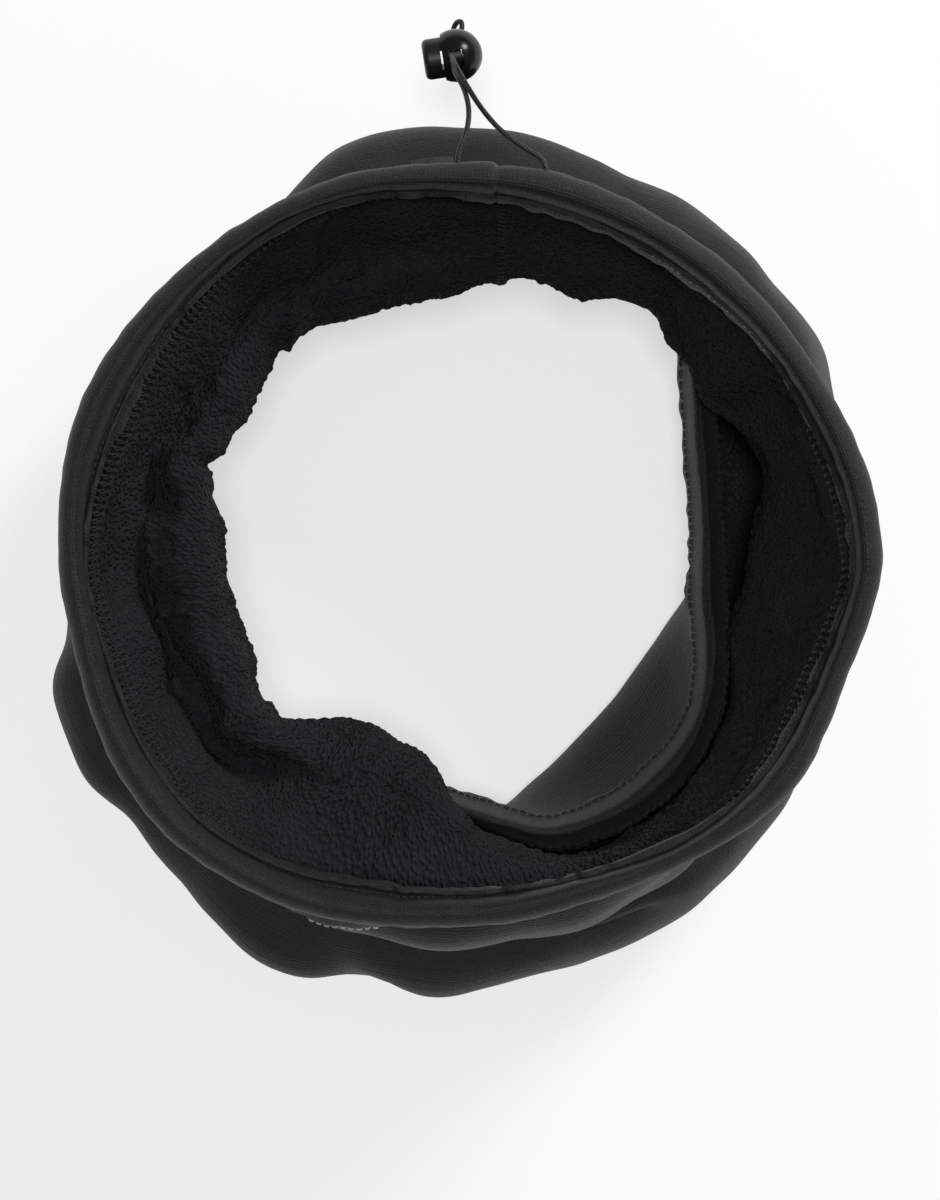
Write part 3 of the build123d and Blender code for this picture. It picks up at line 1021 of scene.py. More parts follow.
    def face(self, degrees: np.ndarray, steps: np.ndarray) -> tuple[np.ndarray, np.ndarray]:
        """The lining's face with its folds, and the way out to the shell side.

        Args:
            degrees: Angles round the tube, closing on themselves.
            steps: Places along the wall, in control rows.

        Returns:
            Places [step, angle, xyz] and unit directions of the same shape.
        """
        radius, height = self.rows(degrees)
        places = round_places(through(radius, steps), through(height, steps), degrees[None, :])
        out = square_to(places)
        step, turn = steps[:, None], degrees[None, :]
        around = turn / 360.0 * self.girth + 0.0 * step
        along = step * self.row_long
        free = np.clip((step - 1.3) / 1.6, 0.0, 1.0) * np.clip((21.6 - step) / 2.0, 0.0, 1.0)
        on_floor = 1.0 - 0.85 * np.clip(step - 15.0, 0.0, 1.0)
        rise = self.soft.over(around, along, self.girth) * 1.1
        rise = rise + self.fine.over(around, along, self.girth) * 0.35
        for crease in self.creases:
            rise = rise + crease.over(turn, step, self.girth)
        places = places - out * (rise * free * on_floor)[..., None]
        return places, square_to(places)

    def slack(self, degrees: np.ndarray, steps: np.ndarray) -> np.ndarray:
        """Extra room between lining and shell, in the slump and in the turned-up end.

        Args:
            degrees: Angles round the tube.
            steps: Places along the wall, in control rows.

        Returns:
            Millimetres, [step, angle].
        """
        room = np.interp(steps, [2.6, 3.5, 7.4, 8.5, 18.0, 20.0, 21.0, 22.0, 23.0],
                         [0.0, 2.6, 2.6, 0.0, 0.0, 0.3, 1.8, 3.6, 0.6])
        return room[:, None] + 0.0 * degrees[None, :]


@dataclass
class Spot:
    """Finds places on the wall between its grid's own.

    Attributes:
        wall: The wall.
        offset: Distance from the lining's face, and 0 for that face itself.
        columns: Samples round the wall.
        rows: Samples along it.
        grid: The sampled places.
        out: The directions out to the shell side there.
    """

    wall: Wall
    offset: float
    columns: int = 720
    rows: int = 231
    grid: np.ndarray = field(init=False)
    out: np.ndarray = field(init=False)

    def __post_init__(self) -> None:
        """Samples the wall once."""
        degrees = even_turn(self.columns)
        steps = np.linspace(0.0, self.wall.last, self.rows)
        face, self.out = self.wall.face(degrees, steps)
        slack = self.wall.slack(degrees, steps)[..., None] if self.offset > 0 else 0.0
        self.grid = face + self.out * (self.offset + slack)

    def at(self, degrees: float, step: float) -> tuple[np.ndarray, np.ndarray]:
        """Finds one spot.

        Args:
            degrees: Its angle.
            step: Its place along the wall, in control rows.

        Returns:
            The place, and the unit direction out to the shell side.
        """
        a = (degrees % 360.0) / 360.0 * self.columns
        r = step / self.wall.last * (self.rows - 1)
        i, j = int(a), min(int(r), self.rows - 2)
        fa, fr = a - i, r - j
        n = (i + 1) % self.columns

        def mixed(v: np.ndarray) -> np.ndarray:
            """Bilinear mix of the four values round the spot."""
            return ((v[j, i] * (1 - fa) + v[j, n] * fa) * (1 - fr)
                    + (v[j + 1, i] * (1 - fa) + v[j + 1, n] * fa) * fr)

        out = mixed(self.out)
        return mixed(self.grid), out / np.linalg.norm(out)


@dataclass
class Lining:
    """The waffle fleece, with its pebbles in the mesh where they are seen.

    Attributes:
        wall: The wall that it follows.
        columns: Places round the mesh.
        fine_rows: Rows on the open slope, which is seen.
        coarse_rows: Rows from there to the far end.
        back_every: Fine rows that go into one on the hidden side.
        pebbles_round: Pebbles once round.
        pebble_long: Length of a pebble along the wall.
        pebble_high: Height of the woven pebbles.
        tuft_high: Height of the uneven tufts over them.
        tufts: Where the tufts are.
        drift: How the rows of pebbles wander.
        seam_high: Height of the ridge over the back seam.
        seam_wide: Half width of that ridge.
    """

    wall: Wall
    columns: int = 660
    fine_rows: int = 78
    coarse_rows: int = 27
    back_every: int = 6
    pebbles_round: int = 228
    pebble_long: float = 2.2
    pebble_high: float = 0.12
    tuft_high: float = 0.30
    tufts: Uneven = Uneven(3, 2.4, 4.4, 60)
    drift: Uneven = Uneven(8, 30.0, 90.0)
    seam_high: float = 0.9
    seam_wide: float = 1.5

    def steps(self) -> np.ndarray:
        """Rows close together on the open slope, and further apart below."""
        fine = np.linspace(0.6, 10.0, self.fine_rows, endpoint=False)
        return np.concatenate([fine, np.linspace(10.0, self.wall.last, self.coarse_rows)])

    def build(self) -> bpy.types.Object:
        """Makes the closed layer.

        Returns:
            The lining's object.
        """
        degrees, steps = even_turn(self.columns), self.steps()
        face, out = self.wall.face(degrees, steps)
        along = run_along(face)
        around = degrees[None, :] / 360.0 * self.wall.girth
        drift = 0.35 * self.drift.over(around, along[:, None], self.wall.girth)
        u = degrees[None, :] / 360.0 * self.pebbles_round + drift
        v = (along / self.pebble_long)[:, None] + drift
        pebbles = self.pebble_high * (np.sin(TURN * u) * np.sin(TURN * v))
        tufts = self.tuft_high * self.tufts.over(around, along[:, None], self.wall.girth)
        shown = np.clip((steps - 1.25) / 0.5, 0.0, 1.0) * np.clip((11.0 - steps) / 1.5, 0.15, 1.0)
        rise = (pebbles + tufts + self.seam_ridge(face)) * shown[:, None]
        front = face - out * rise[..., None]
        behind, away = soften(face, 4), soften(out, 9)
        away /= np.linalg.norm(away, axis=-1, keepdims=True)
        hidden = np.concatenate([np.arange(0, self.fine_rows, self.back_every),
                                 np.arange(self.fine_rows, len(steps))])[::-1]
        back = behind[hidden] + away[hidden] * self.wall.lining
        rings = np.concatenate([front, back])
        uv = np.zeros((len(rings) + 1, self.columns + 1, 2))
        wide = np.concatenate([drift, drift[:, :1]], axis=1)
        wide = np.concatenate([wide, wide[hidden], wide[:1]], axis=0)
        turns = np.arange(self.columns + 1) / self.columns * self.pebbles_round
        long = np.concatenate([along, along[hidden], along[:1]]) / self.pebble_long
        uv[..., 0] = turns[None, :] + wide
        uv[..., 1] = long[:, None] + wide
        return closed_grid("fleece_lining_cloth", rings, uv)

    def seam_ridge(self, face: np.ndarray) -> np.ndarray:
        """A low ridge where the tube is sewn closed, at the back."""
        ridge = self.seam_high * np.exp(-(((face[..., 0] - SEAM_X) / self.seam_wide) ** 2))
        return np.where(face[..., 1] > 0.0, ridge, 0.0)

    def dress(self, made: bpy.types.Object, finishes: Finishes) -> None:
        """Gives the lining its fleece and lets it stand for its CAD node.

        Args:
            made: The lining.
            finishes: Every finish.
        """
        dress(made, finishes.fleece)
        settle(made, GAITER, Slot.FLEECE, "fleece_lining")


@dataclass
class Shell:
    """The smooth face fabric, behind the lining all the way.

    Attributes:
        wall: The wall that it follows.
        columns: Places round the mesh.
        rows: Rows of its seen face.
        back_every: Rows that go into one on its hidden face.
    """

    wall: Wall
    columns: int = 480
    rows: int = 120
    back_every: int = 3

    def build(self) -> bpy.types.Object:
        """Makes the closed layer.

        Returns:
            The shell's object.
        """
        degrees = even_turn(self.columns)
        steps = np.linspace(0.5, self.wall.last, self.rows)
        face, out = (soften(values) for values in self.wall.face(degrees, steps))
        out /= np.linalg.norm(out, axis=-1, keepdims=True)
        room = self.wall.lining + self.wall.gap + self.wall.slack(degrees, steps)[..., None]
        inner, outer = face + out * room, face + out * (room + self.wall.shell)
        inner[..., 2] = np.maximum(inner[..., 2], self.wall.shell)
        outer[..., 2] = np.maximum(outer[..., 2], 0.02)
        return cloth_layer("shell_cloth", outer, inner, self.back_every, self.wall.girth)

    def dress(self, made: bpy.types.Object, finishes: Finishes) -> None:
        """Gives the shell its knit and lets it stand for its CAD nodes.

        Args:
            made: The shell.
            finishes: Every finish.
        """
        dress(made, finishes.knit)
        settle(made, GAITER, Slot.KNIT, "shell_upper", "shell_slope", "shell_base",
               "shell_turn_up")


@dataclass
class Band:
    """A folded hem: one strip of knit round the tube's edge, doubled over.

    Attributes:
        name: Name of the piece.
        node: CAD node that it stands for.
        section: Gives the radius and height of each point of its section, by angle.
        flat: Size of the strip as cut, in metres; not used.
        seed: Chooses its puckers.
        join: Angle of the strip's own seam.
        columns: Places round the mesh.
        back_every: Rows that go into one on its hidden face.
        thickness: Thickness of the knit.
        girth: Distance once round, for the weave and the puckers.
        width: Distance across the strip.
    """

    name: str
    node: str
    section: Callable[[np.ndarray], list[tuple[np.ndarray, np.ndarray]]]
    flat: tuple[float, float]
    seed: int
    join: float = 84.2
    columns: int = 720
    back_every: int = 2
    thickness: float = 1.0
    girth: float = 520.0
    width: float = 26.0

    def face(self, degrees: np.ndarray) -> tuple[np.ndarray, np.ndarray]:
        """Outer face of the strip.

        Args:
            degrees: Angles round the tube, closing on themselves.

        Returns:
            Places [row, angle, xyz] and unit directions out of the cloth.
        """
        radius, height = (np.array(values) for values in zip(*self.section(degrees)))
        rows = np.linspace(0.0, len(radius) - 1.0, 4 * len(radius))
        places = round_places(through(radius, rows), through(height, rows), degrees[None, :])
        around = degrees[None, :] / 360.0 * self.girth
        across = np.linspace(0.0, self.width, len(rows))[:, None]
        pucker = Uneven(self.seed, 5.0, 14.0).over(around, across * 0.35, self.girth)
        sag = Uneven(self.seed + 1, 30.0, 110.0).over(around, across * 0.4, self.girth)
        edge = np.clip(1.0 - np.minimum(across, self.width - across) / 8.0, 0.0, 1.0)
        rise = pucker * (0.10 + 0.34 * edge) + sag * 0.45
        joined = np.mod(degrees - self.join + 180.0, 360.0) - 180.0
        rise = rise - 0.55 * np.exp(-((joined / 0.42) ** 2))[None, :]
        rise = rise + (0.35 * np.tanh(joined / 0.5) * np.exp(-((joined / 7.0) ** 2)))[None, :]
        rise[0] = rise[1]
        places = places - square_to(places) * rise[..., None]
        return places, -square_to(places)

    def build(self) -> bpy.types.Object:
        """Makes the closed strip.

        Returns:
            The hem's object.
        """
        outer, out = self.face(even_turn(self.columns))
        return cloth_layer(self.name, outer, outer - out * self.thickness, self.back_every,
                           self.girth)

    def dress(self, made: bpy.types.Object, finishes: Finishes) -> None:
        """Gives the hem its knit and lets it stand for its CAD node.

        Args:
            made: The hem.
            finishes: Every finish.
        """
        dress(made, finishes.knit)
        settle(made, GAITER, Slot.KNIT, self.node)


@dataclass
class TopHem:
    """The near hem, a channel for the drawcord, with its stitching and its cord.

    Attributes:
        wall: The wall that it closes.
        height: Height of its fold.
        fold: Radius of the fold's outer side.
        flare: How far its outer edge stands off the wall.
        stitch_count: Stitches once round.
        groove: Row of the strip where its inner needle row lies.
        thread: Radius of the thread.
        cord: Radius of the drawcord.
        cord_in: From the fold's outer side in to the cord.
        cord_below: From the fold's height down to the cord.
        exits: Angles between which the cord runs inside the channel.
    """

    wall: Wall
    height: float = 110.0
    fold: Round = Round({
        0: 93.7, 30: 89.9, 60: 88.2, 77: 88.5, 90: 88.4, 105: 89.6, 135: 89.8, 157: 90.4,
        180: 88.2, 191: 87.0, 214: 87.9, 225: 87.7, 234: 86.3, 245: 84.7, 257: 82.2, 270: 80.4,
        289: 80.3, 300: 82.1, 312: 85.5, 327: 89.1, 343: 89.9, 354: 92.4})
    flare: Round = Round({0: 0, 225: 0, 240: 3.0, 251: 7.4, 262: 3.2, 275: 0.4, 300: 0})

    stitch_count: int = 300
    groove: int = 34
    thread: float = 0.23
    cord: float = 0.6
    cord_in: float = 3.1
    cord_below: float = 5.2
    exits: tuple[float, float] = (91.2, 436.0)

    def section(self, degrees: np.ndarray) -> list[tuple[np.ndarray, np.ndarray]]:
        """Section of the hem, from its outer edge over the fold to its inner edge.

        Args:
            degrees: Angles round the tube.

        Returns:
            Radius and height of each point, for every angle.
        """
        f, s, flare = (c.at(degrees) for c in (self.fold, self.wall.hem_edge, self.flare))
        z = self.height + 0 * f
        rim, open_edge = f - 5.0, s - 0.1
        return [
            (s + 4.9 + 0.75 * flare, z - 13.4),
            (0.5 * (s + 4.9) + 0.5 * (f - 0.3) + 0.6 * flare, z - 10.4),
            (f - 0.2, z - 7.6),
            (f, z - 4.6),
            (f - 0.8, z - 2.0),
            (f - 2.6, z - 0.3),
            (rim + 0.5, z - 0.7),
            (rim + (open_edge - rim) * 0.22, z - 3.2),
            (rim + (open_edge - rim) * 0.42, z - 9.0),
            (rim + (open_edge - rim) * 0.66, z - 7.9),
            (rim + (open_edge - rim) * 0.88, z - 9.8),
            (open_edge, z - 12.8),
        ]

    def band(self) -> Band:
        """The folded strip."""
        return Band("top_hem_cloth", "top_hem", self.section, (0.540, 0.027), 21)

    def sewing(self, band: Band, lining: Spot) -> bpy.types.Object:
        """Coverstitching over the inner edge and a needle row near the outer edge.

        Args:
            band: The folded strip.
            lining: Finds places on the lining under the strip's edge.

        Returns:
            The stitching.
        """
        degrees = even_turn(4 * self.stitch_count)
        strip = band.face(degrees)
        out = strip[1]
        edge = len(out) - 7
        ends: list[tuple[np.ndarray, np.ndarray, np.ndarray]] = []
        pale: list[bool] = []
        for k in range(self.stitch_count):
            a = 4 * k
            angle = degrees[a]
            glimpse = 33.0 < angle < 59.0 and k % 3 != 1
            for side, near in ((0, 3), (2, 1)):
                under, away = lining.at(degrees[(a + near) % len(degrees)], 1.55)
                below, lower = lining.at(degrees[a + side], 2.05)
                corner = under - away * 0.34
                ends.append((lifted(strip, edge, a + side, 0.10), corner, -away))
                ends.append((corner, below - lower * 0.30, -lower))
                pale += [glimpse and side == 0, False]
            for row in (self.groove, 4):
                ends.append((lifted(strip, row, a, 0.12), lifted(strip, row, a + 3, 0.12),
                             out[row, a]))
            pale += [False, 246.0 < angle < 257.0 or 266.0 < angle < 267.6]
        return stitches("top_hem_coverstitch", ends, self.thread, pale)

    def channel(self) -> bpy.types.Object:
        """Makes the stretch of drawcord inside the channel, from exit round to exit.

        Returns:
            The cord.
        """
        degrees = np.linspace(*self.exits, 300)
        height = np.full(len(degrees), self.height - self.cord_below)
        path = round_places(self.fold.at(degrees) - self.cord_in, height, degrees)
        return tube_along("channel_drawcord", path, self.cord)

    def make(self, lining: Spot, finishes: Finishes) -> None:
        """Builds and dresses the hem, its stitching and its cord.

        Args:
            lining: Finds places on the lining's face.
            finishes: Every finish.
        """
        band = self.band()
        band.dress(band.build(), finishes)
        sewing = self.sewing(band, lining)
        dress(sewing, finishes.thread, finishes.pale_thread)
        settle(sewing, GAITER, Slot.THREAD, "top_hem_stitching")
        channel = self.channel()
        dress(channel, finishes.elastic)
        settle(channel, GAITER, Slot.ELASTIC, "drawcord")


@dataclass
class BottomHem:
    """The far hem, turned up inside the tube at one side.

    Attributes:
        wall: The wall that it closes.
        stitch_count: Stitches once round.
        thread: Radius of the thread.
    """

    wall: Wall
    stitch_count: int = 208
    thread: float = 0.22

    def section(self, degrees: np.ndarray) -> list[tuple[np.ndarray, np.ndarray]]:
        """Section of the hem, from the cavity side over the fold to the hole side.

        Args:
            degrees: Angles round the tube.

        Returns:
            Radius and height of each point, for every angle.
        """
        e, z = self.wall.cuff_edge.at(degrees), self.wall.cuff_height.at(degrees)
        return [
            (e + 6.3, z - 11.2),
            (e + 5.8, z - 8.6),
            (e + 4.9, z - 5.2),
            (e + 3.4, z - 2.0),
            (e + 1.7, z - 0.2),
            (e + 0.2, z - 0.9),
            (e - 0.7, z - 3.2),
            (e - 1.5, z - 6.4),
            (e - 2.5, z - 9.8),
            (e - 3.1, z - 12.6),
        ]

    def band(self) -> Band:
        """The folded strip."""
        return Band("bottom_hem_cloth", "bottom_hem", self.section, (0.400, 0.027), 33)

    def sewing(self, band: Band) -> bpy.types.Object:
        """Coverstitching over the cavity side's edge and needle rows on both sides.

        Args:
            band: The folded strip.

        Returns:
            The stitching.
        """
        strip = band.face(even_turn(4 * self.stitch_count))
        out = strip[1]
        ends = []
        for k in range(self.stitch_count):
            a = 4 * k
            for side, near in ((0, 2), (2, 0)):
                ends.append((lifted(strip, 7, a + side, 0.10), lifted(strip, 1, a + near, 0.05),
                             out[4, a]))
            for row in (8, len(out) - 6):
                ends.append((lifted(strip, row, a, 0.12), lifted(strip, row, a + 3, 0.12),
                             out[row, a]))
        return stitches("bottom_hem_coverstitch", ends, self.thread)

    def make(self, finishes: Finishes) -> None:
        """Builds and dresses the hem and its stitching.

        Args:
            finishes: Every finish.
        """
        band = self.band()
        band.dress(band.build(), finishes)
        sewing = self.sewing(band)
        dress(sewing, finishes.thread)
        settle(sewing, GAITER, Slot.THREAD, "bottom_hem_stitching")


@dataclass
class BackSeam:
    """Flat seam that closes the tube behind the cord lock.

    Attributes:
        lining: Finds places on the lining's face.
        x: Where the seam lies.
        rows: Control rows between which it is sewn.
        reach: Half width of the crossing stitches.
        pitch: From one stitch to the next.
        edge_lift: Height of a stitch's outer end.
        middle_lift: Height of its end on the ridge.
        thread: Radius of the thread.
    """

    lining: Spot
    x: float = SEAM_X
    rows: tuple[float, float] = (1.6, 21.4)
    reach: float = 1.25
    pitch: float = 1.5
    edge_lift: float = 0.55
    middle_lift: float = 1.0
    thread: float = 0.20

    def build(self) -> bpy.types.Object:
        """Makes the crossing stitches down the seam.

        Returns:
            The seam's stitching.
        """
        ends = []
        step, probe = self.rows[0], 0.5
        while step < self.rows[1]:
            middle, out = self.on_seam(step, 0.0)
            left, left_out = self.on_seam(step, -self.reach)
            right, right_out = self.on_seam(step + 0.05, self.reach)
            ridge = middle - out * self.middle_lift
            ends.append((left - left_out * self.edge_lift, ridge, -out))
            ends.append((ridge, right - right_out * self.edge_lift, -out))
            ahead, _ = self.on_seam(step + probe, 0.0)
            gap = float(np.linalg.norm(ahead - middle)) or 1.0
            step += probe * self.pitch / gap
        return stitches("back_seam_thread", ends, self.thread)

    def on_seam(self, step: float, aside: float) -> tuple[np.ndarray, np.ndarray]:
        """Finds a spot on the seam, by a few steps towards its line.

        Args:
            step: Place along the wall, in control rows.
            aside: Distance aside from the seam.

        Returns:
            The place, and the unit direction out to the shell side.
        """
        angle = 84.0
        for _ in range(4):
            place, _ = self.lining.at(angle, step)
            angle += math.degrees((place[0] - self.x - aside) / max(math.hypot(*place[:2]), 1.0))
        return self.lining.at(angle, step)

    def make(self, finishes: Finishes) -> None:
        """Builds and dresses the seam's stitching.

        Args:
            finishes: Every finish.
        """
        seam = self.build()
        dress(seam, finishes.thread)
        settle(seam, GAITER, Slot.THREAD, "back_seam_stitching")


@dataclass
class BlankPatch:
    """Thin plain patch pressed on the shell, low on the back.

    Attributes:
        shell: Finds places on the shell's face.
        width: Distance across the patch.
        rows: Control rows of its upper and lower edge.
        thickness: Height of its middle, off its own underside.
        rim: Share of that height at its edges.
        lift: Height of its underside off the shell.
        angle: Angle of its middle.
        radius: The shell's radius there.
        wide: Places across its mesh.
        deep: Places down its mesh.
    """

    shell: Spot
    width: float = 10.0
    rows: tuple[float, float] = (11.80, 12.62)
    thickness: float = 0.35
    rim: float = 0.6
    lift: float = 0.12
    angle: float = 93.6
    radius: float = 95.0
    wide: int = 16
    deep: int = 10

    def build(self) -> bpy.types.Object:
        """Makes a closed plate that follows the shell.

        Returns:
            The patch.
        """
        wide, deep = self.wide, self.deep
        outer = np.zeros((deep, wide, 3))
        inner = np.zeros((deep, wide, 3))
        for j, step in enumerate(np.linspace(*self.rows, deep)):
            for i, aside in enumerate(np.linspace(-0.5, 0.5, wide) * self.width):
                place, out = self.shell.at(self.angle - math.degrees(aside / self.radius), step)
                at_rim = i in (0, wide - 1) or j in (0, deep - 1)
                high = self.thickness * (self.rim if at_rim else 1.0)
                outer[j, i] = place + out * (self.lift + high)
                inner[j, i] = place + out * self.lift
        base = wide * deep
        corners = [j * wide + i for j in range(deep - 1) for i in range(wide - 1)]
        faces = [(a, a + 1, a + wide + 1, a + wide) for a in corners]
        faces += [(base + a, base + a + wide, base + a + wide + 1, base + a + 1)
                  for a in corners]
        loop = (list(range(wide)) + [j * wide + wide - 1 for j in range(1, deep)]
                + [(deep - 1) * wide + i for i in range(wide - 2, -1, -1)]
                + [j * wide for j in range(deep - 2, 0, -1)])
        faces += [(a, base + a, base + b, b) for a, b in zip(loop, loop[1:] + loop[:1])]
        places = np.concatenate([outer.reshape(-1, 3), inner.reshape(-1, 3)])
        mesh = bpy.data.meshes.new("blank_patch_film")
        mesh.from_pydata((places * MM).tolist(), [], faces)
        mesh.polygons.foreach_set("use_smooth", [True] * len(mesh.polygons))
        made = piece_from("blank_patch_film", mesh)
        turn_outwards(made)
        bpy.ops.object.shade_smooth_by_angle(angle=math.radians(50.0))
        return made

    def make(self, finishes: Finishes) -> None:
        """Builds and dresses the patch.

        Args:
            finishes: Every finish.
        """
        patch = self.build()
        dress(patch, finishes.film)
        settle(patch, GAITER, Slot.PATCH, "blank_patch")


@dataclass
class CordLock:
    """Ball-shaped cord lock with its push button and the spring inside.

    Attributes:
        centre: Middle of the ball.
        button_out: The button's way out of it.
        strands_up: The way that the strands leave its top.
        bore_bottom: Bottom of the spring's bore, from the ball's middle.
        coil_radius: To the middle of the spring's wire.
        wire: Radius of that wire.
        turns: Turns of the spring.
        coil_top: Highest middle of the wire, from the ball's middle.
        keep: Share of the spring's length that is left when the button is pressed; not used.
    """

    centre: Vector = field(default_factory=lambda: Vector((-0.5, 114.8, 79.0)))
    button_out: Vector = field(default_factory=lambda: Vector((-0.988693, -0.149953, 0.0)))
    strands_up: Vector = field(default_factory=lambda: Vector((0.038236, -0.252103, 0.966945)))
    bore_bottom: float = -3.9
    coil_radius: float = 1.8
    wire: float = 0.175
    turns: int = 4
    coil_top: float = -0.575
    keep: float = 0.45

    def spring(self) -> bpy.types.Object:
        """Makes the coil spring between the bore's bottom and the button.

        Returns:
            The spring, in the lock's place.
        """
        bpy.ops.object.select_all(action="DESELECT")
        bpy.ops.mesh.primitive_circle_add(vertices=10, radius=self.wire * MM,
                                          location=(self.coil_radius * MM, 0.0, 0.0),
                                          rotation=(math.pi / 2.0, 0.0, 0.0))
        made = bpy.context.object
        made.name = "coil_spring"
        bpy.ops.object.transform_apply(location=True, rotation=True, scale=True)
        low = self.bore_bottom + self.wire
        screw = made.modifiers.new("coil", "SCREW")
        screw.axis = "Z"
        screw.angle = TURN
        screw.steps = screw.render_steps = 28
        screw.iterations = self.turns
        screw.screw_offset = (self.coil_top - low) / self.turns * MM
        bpy.ops.object.modifier_apply(modifier=screw.name)
        bpy.ops.object.mode_set(mode="EDIT")
        bpy.ops.mesh.select_all(action="SELECT")
        bpy.ops.mesh.remove_doubles(threshold=1e-7)
        bpy.ops.mesh.select_all(action="DESELECT")
        bpy.ops.mesh.select_non_manifold()
        bpy.ops.mesh.edge_face_add()
        bpy.ops.mesh.select_all(action="SELECT")
        bpy.ops.mesh.normals_make_consistent(inside=False)
        bpy.ops.object.mode_set(mode="OBJECT")
        out = self.button_out.normalized()
        up = (self.strands_up - out * self.strands_up.dot(out)).normalized()
        side = up.cross(out)
        turn = Matrix((side, up, out)).transposed().to_4x4()
        made.data.transform(Matrix.Translation((self.centre + out * low) * MM) @ turn)
        made.data.polygons.foreach_set("use_smooth", [True] * len(made.data.polygons))
        return made

    def dress(self, spring: bpy.types.Object, finishes: Finishes,
              nodes: dict[str, bpy.types.Object]) -> None:
        """Gives the ball, the button and the spring their finishes.

        Args:
            spring: The spring.
            finishes: Every finish.
            nodes: The CAD nodes by name.
        """
        for node, material in (("lock_housing", finishes.ball), ("lock_plunger", finishes.button)):
            dress(nodes[node], material)
        dress(spring, finishes.steel)
        settle(spring, CORD_LOCK, Slot.STEEL, "lock_spring")
        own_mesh(spring)


@dataclass
class FreeCord:
    """The elastic from the left exit, through the lock, round its bight and back.

    Attributes:
        diameter: Thickness of the cord.
        length: Its length from exit to exit; not used.
        route: Places along its middle, in order.
    """

    diameter: float = 1.2
    length: float = 130.7
    route: tuple[tuple[float, float, float], ...] = (
        (-0.15, 85.3, 104.8), (-0.25, 90.4, 104.7), (1.9, 95.0, 103.6), (2.6, 100.3, 101.2),
        (1.5, 105.4, 98.2), (-0.627, 109.303, 94.636), (-0.845, 110.74, 89.12),
        (-1.377, 114.244, 75.684), (-1.545, 115.353, 71.429), (-1.7, 118.6, 68.4),
        (-0.9, 123.2, 68.6), (1.0, 123.6, 70.9), (0.6, 119.8, 71.2), (-1.907, 117.743, 72.067),
        (-1.777, 116.886, 75.355), (-1.288, 113.66, 87.73), (-0.990, 111.693, 95.273),
        (2.2, 105.6, 99.0), (5.7, 100.0, 101.8), (9.8, 95.3, 103.5), (14.9, 91.7, 104.3),
        (20.2, 88.6, 104.8), (19.27, 83.7, 104.8))

    def build(self) -> bpy.types.Object:
        """Makes the cord's curve.

        Returns:
            The curve, with its own thickness.
        """
        curve = bpy.data.curves.new("drawcord_elastic", "CURVE")
        curve.dimensions = "3D"
        line = curve.splines.new("NURBS")
        line.points.add(len(self.route) - 1)
        for point, place in zip(line.points, self.route):
            point.co = (*(Vector(place) * MM), 1.0)
        line.order_u = 3
        line.use_endpoint_u = True
        line.resolution_u = 12
        curve.bevel_depth = self.diameter / 2.0 * MM
        curve.bevel_resolution = 3
        curve.use_fill_caps = True
        return piece_from("drawcord_elastic", curve)

    def dress(self, made: bpy.types.Object, finishes: Finishes,
              on_it: Sequence[bpy.types.Object]) -> None:
        """Gives the cord its braid and lets it stand for its CAD node.

        Args:
            made: The cord.
            finishes: Every finish.
            on_it: The pieces that are threaded on it; not used.
        """
        made.data.materials.append(finishes.elastic)
        settle(made, GAITER, Slot.ELASTIC, "drawcord_loop")


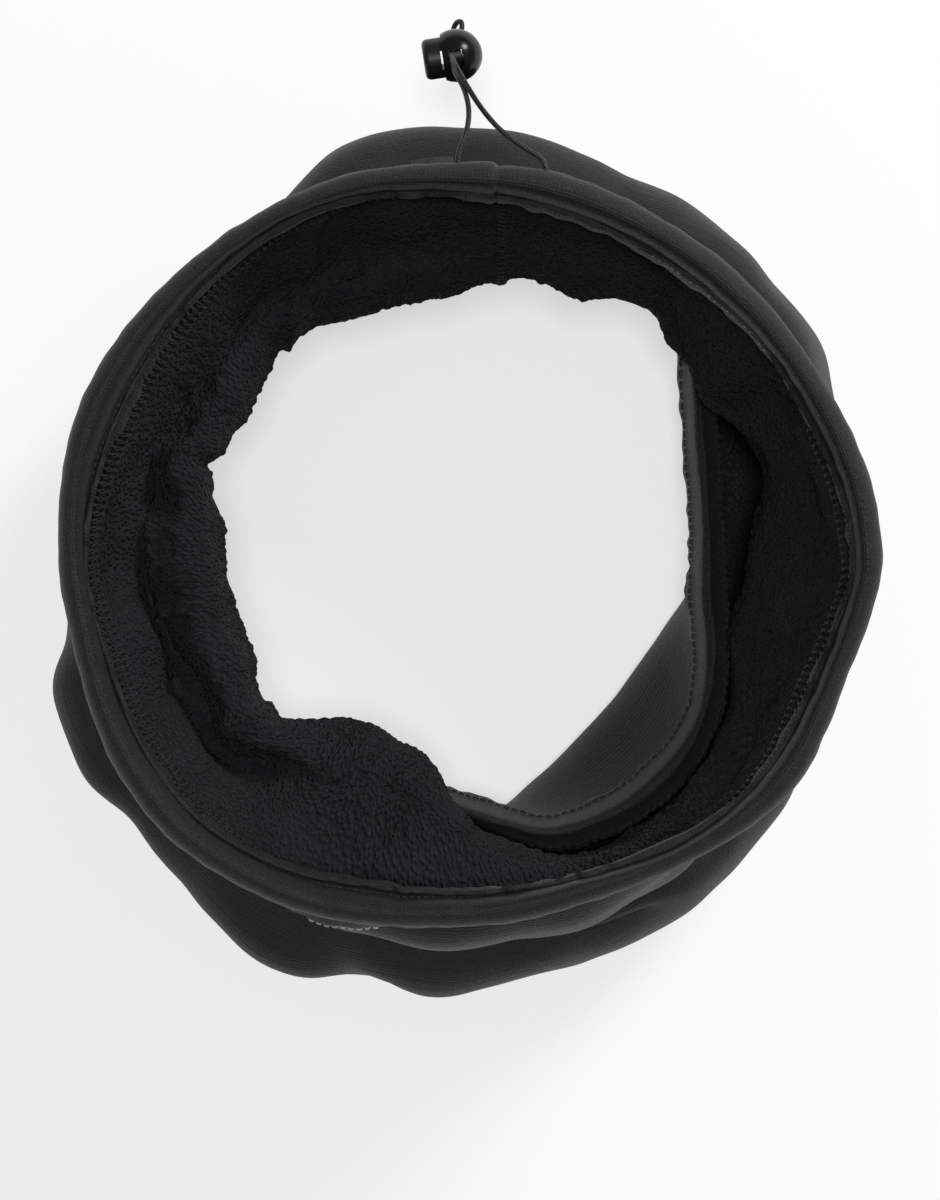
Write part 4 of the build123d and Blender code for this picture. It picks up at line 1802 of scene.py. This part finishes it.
@dataclass
class Studio:
    """Pale floor, soft light and the camera above.

    Attributes:
        camera_place: Where the camera hangs, in millimetres.
        tall: Height of what it sees, in millimetres, at the distance away.
        away: That distance.
        sky: Strength of the even light from all round.
        sun: Strength of the soft light from straight above.
        sun_angle: How soft it is, in degrees.
        lamp: Power of the lamp at the upper right, in watts.
        lamp_size: Its diameter, in metres.
        lamp_place: Where it hangs, in metres.
    """

    camera_place: tuple[float, float, float] = (2.66, -8.1, 1310.0)
    tall: float = 264.0
    away: float = 1200.0
    sky: float = 0.16
    sun: float = 1.0
    sun_angle: float = 9.0
    lamp: float = 10.0
    lamp_size: float = 0.45
    lamp_place: tuple[float, float, float] = (0.80, 0.85, 0.95)

    def floor(self) -> None:
        """Lays the floor."""
        bpy.ops.object.select_all(action="DESELECT")
        bpy.ops.mesh.primitive_plane_add(size=6.0)
        floor = bpy.context.object
        floor.name = "pale_floor"
        dress(floor, Paper().material())

    def hang(self, name: str, data: bpy.types.Light | bpy.types.Camera,
             place: Sequence[float]) -> bpy.types.Object:
        """Hangs a light or the camera.

        Args:
            name: Name of the new object.
            data: The light or the camera.
            place: Where it hangs, in metres.

        Returns:
            The object, looking straight down.
        """
        holder = bpy.data.objects.new(name, data)
        holder.location = place
        bpy.context.scene.collection.objects.link(holder)
        return holder

    def light(self) -> None:
        """Sets an even sky, a soft sun above and a large lamp at the upper right."""
        world = bpy.data.worlds.new("soft_room")
        world.use_nodes = True
        sky = next(n for n in world.node_tree.nodes if n.type == "BACKGROUND")
        sky.inputs["Color"].default_value = (1.0, 1.0, 1.0, 1.0)
        sky.inputs["Strength"].default_value = self.sky
        bpy.context.scene.world = world
        sun = bpy.data.lights.new("overhead", "SUN")
        sun.energy = self.sun
        sun.angle = math.radians(self.sun_angle)
        self.hang("overhead", sun, (0.0, 0.0, 2.0))
        lamp = bpy.data.lights.new("key_lamp", "AREA")
        lamp.shape = "DISK"
        lamp.size = self.lamp_size
        lamp.energy = self.lamp
        aim = Vector((0.0, 0.0, 0.05)) - Vector(self.lamp_place)
        holder = self.hang("key_lamp", lamp, self.lamp_place)
        holder.rotation_euler = aim.to_track_quat("-Z", "Y").to_euler()

    def camera(self) -> None:
        """Hangs the camera straight above the gaiter."""
        lens = bpy.data.cameras.new("above")
        lens.sensor_fit = "VERTICAL"
        lens.angle = 2.0 * math.atan(self.tall / 2.0 / self.away)
        lens.clip_end = 20.0
        bpy.context.scene.camera = self.hang("above", lens, Vector(self.camera_place) * MM)

    def build(self) -> None:
        """Makes the whole studio."""
        self.floor()
        self.light()
        self.camera()
        bpy.context.scene.view_settings.view_transform = "Standard"


def main() -> None:
    """Builds every piece in order."""
    logging.basicConfig(level=logging.INFO, format="%(name)s: %(message)s")
    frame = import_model()
    Studio().build()
    finishes = Finishes.make()
    wall = Wall()

    lock = CordLock()
    spring = lock.spring()
    lock.dress(spring, finishes, frame["nodes"])
    free_cord = FreeCord()
    elastic = free_cord.build()
    on_cord = [frame["nodes"]["lock_housing"], frame["nodes"]["lock_plunger"], spring]
    free_cord.dress(elastic, finishes, on_cord)

    lining = Lining(wall)
    lining.dress(lining.build(), finishes)
    shell = Shell(wall)
    shell.dress(shell.build(), finishes)

    on_lining = Spot(wall, 0.0)
    on_shell = Spot(wall, wall.lining + wall.gap + wall.shell)
    TopHem(wall).make(on_lining, finishes)
    BottomHem(wall).make(finishes)
    BackSeam(on_lining).make(finishes)
    BlankPatch(on_shell).make(finishes)
    for side in ("left_cord_exit", "right_cord_exit"):
        dress(frame["nodes"][side], finishes.thread)


if __name__ == "__main__":
    main()
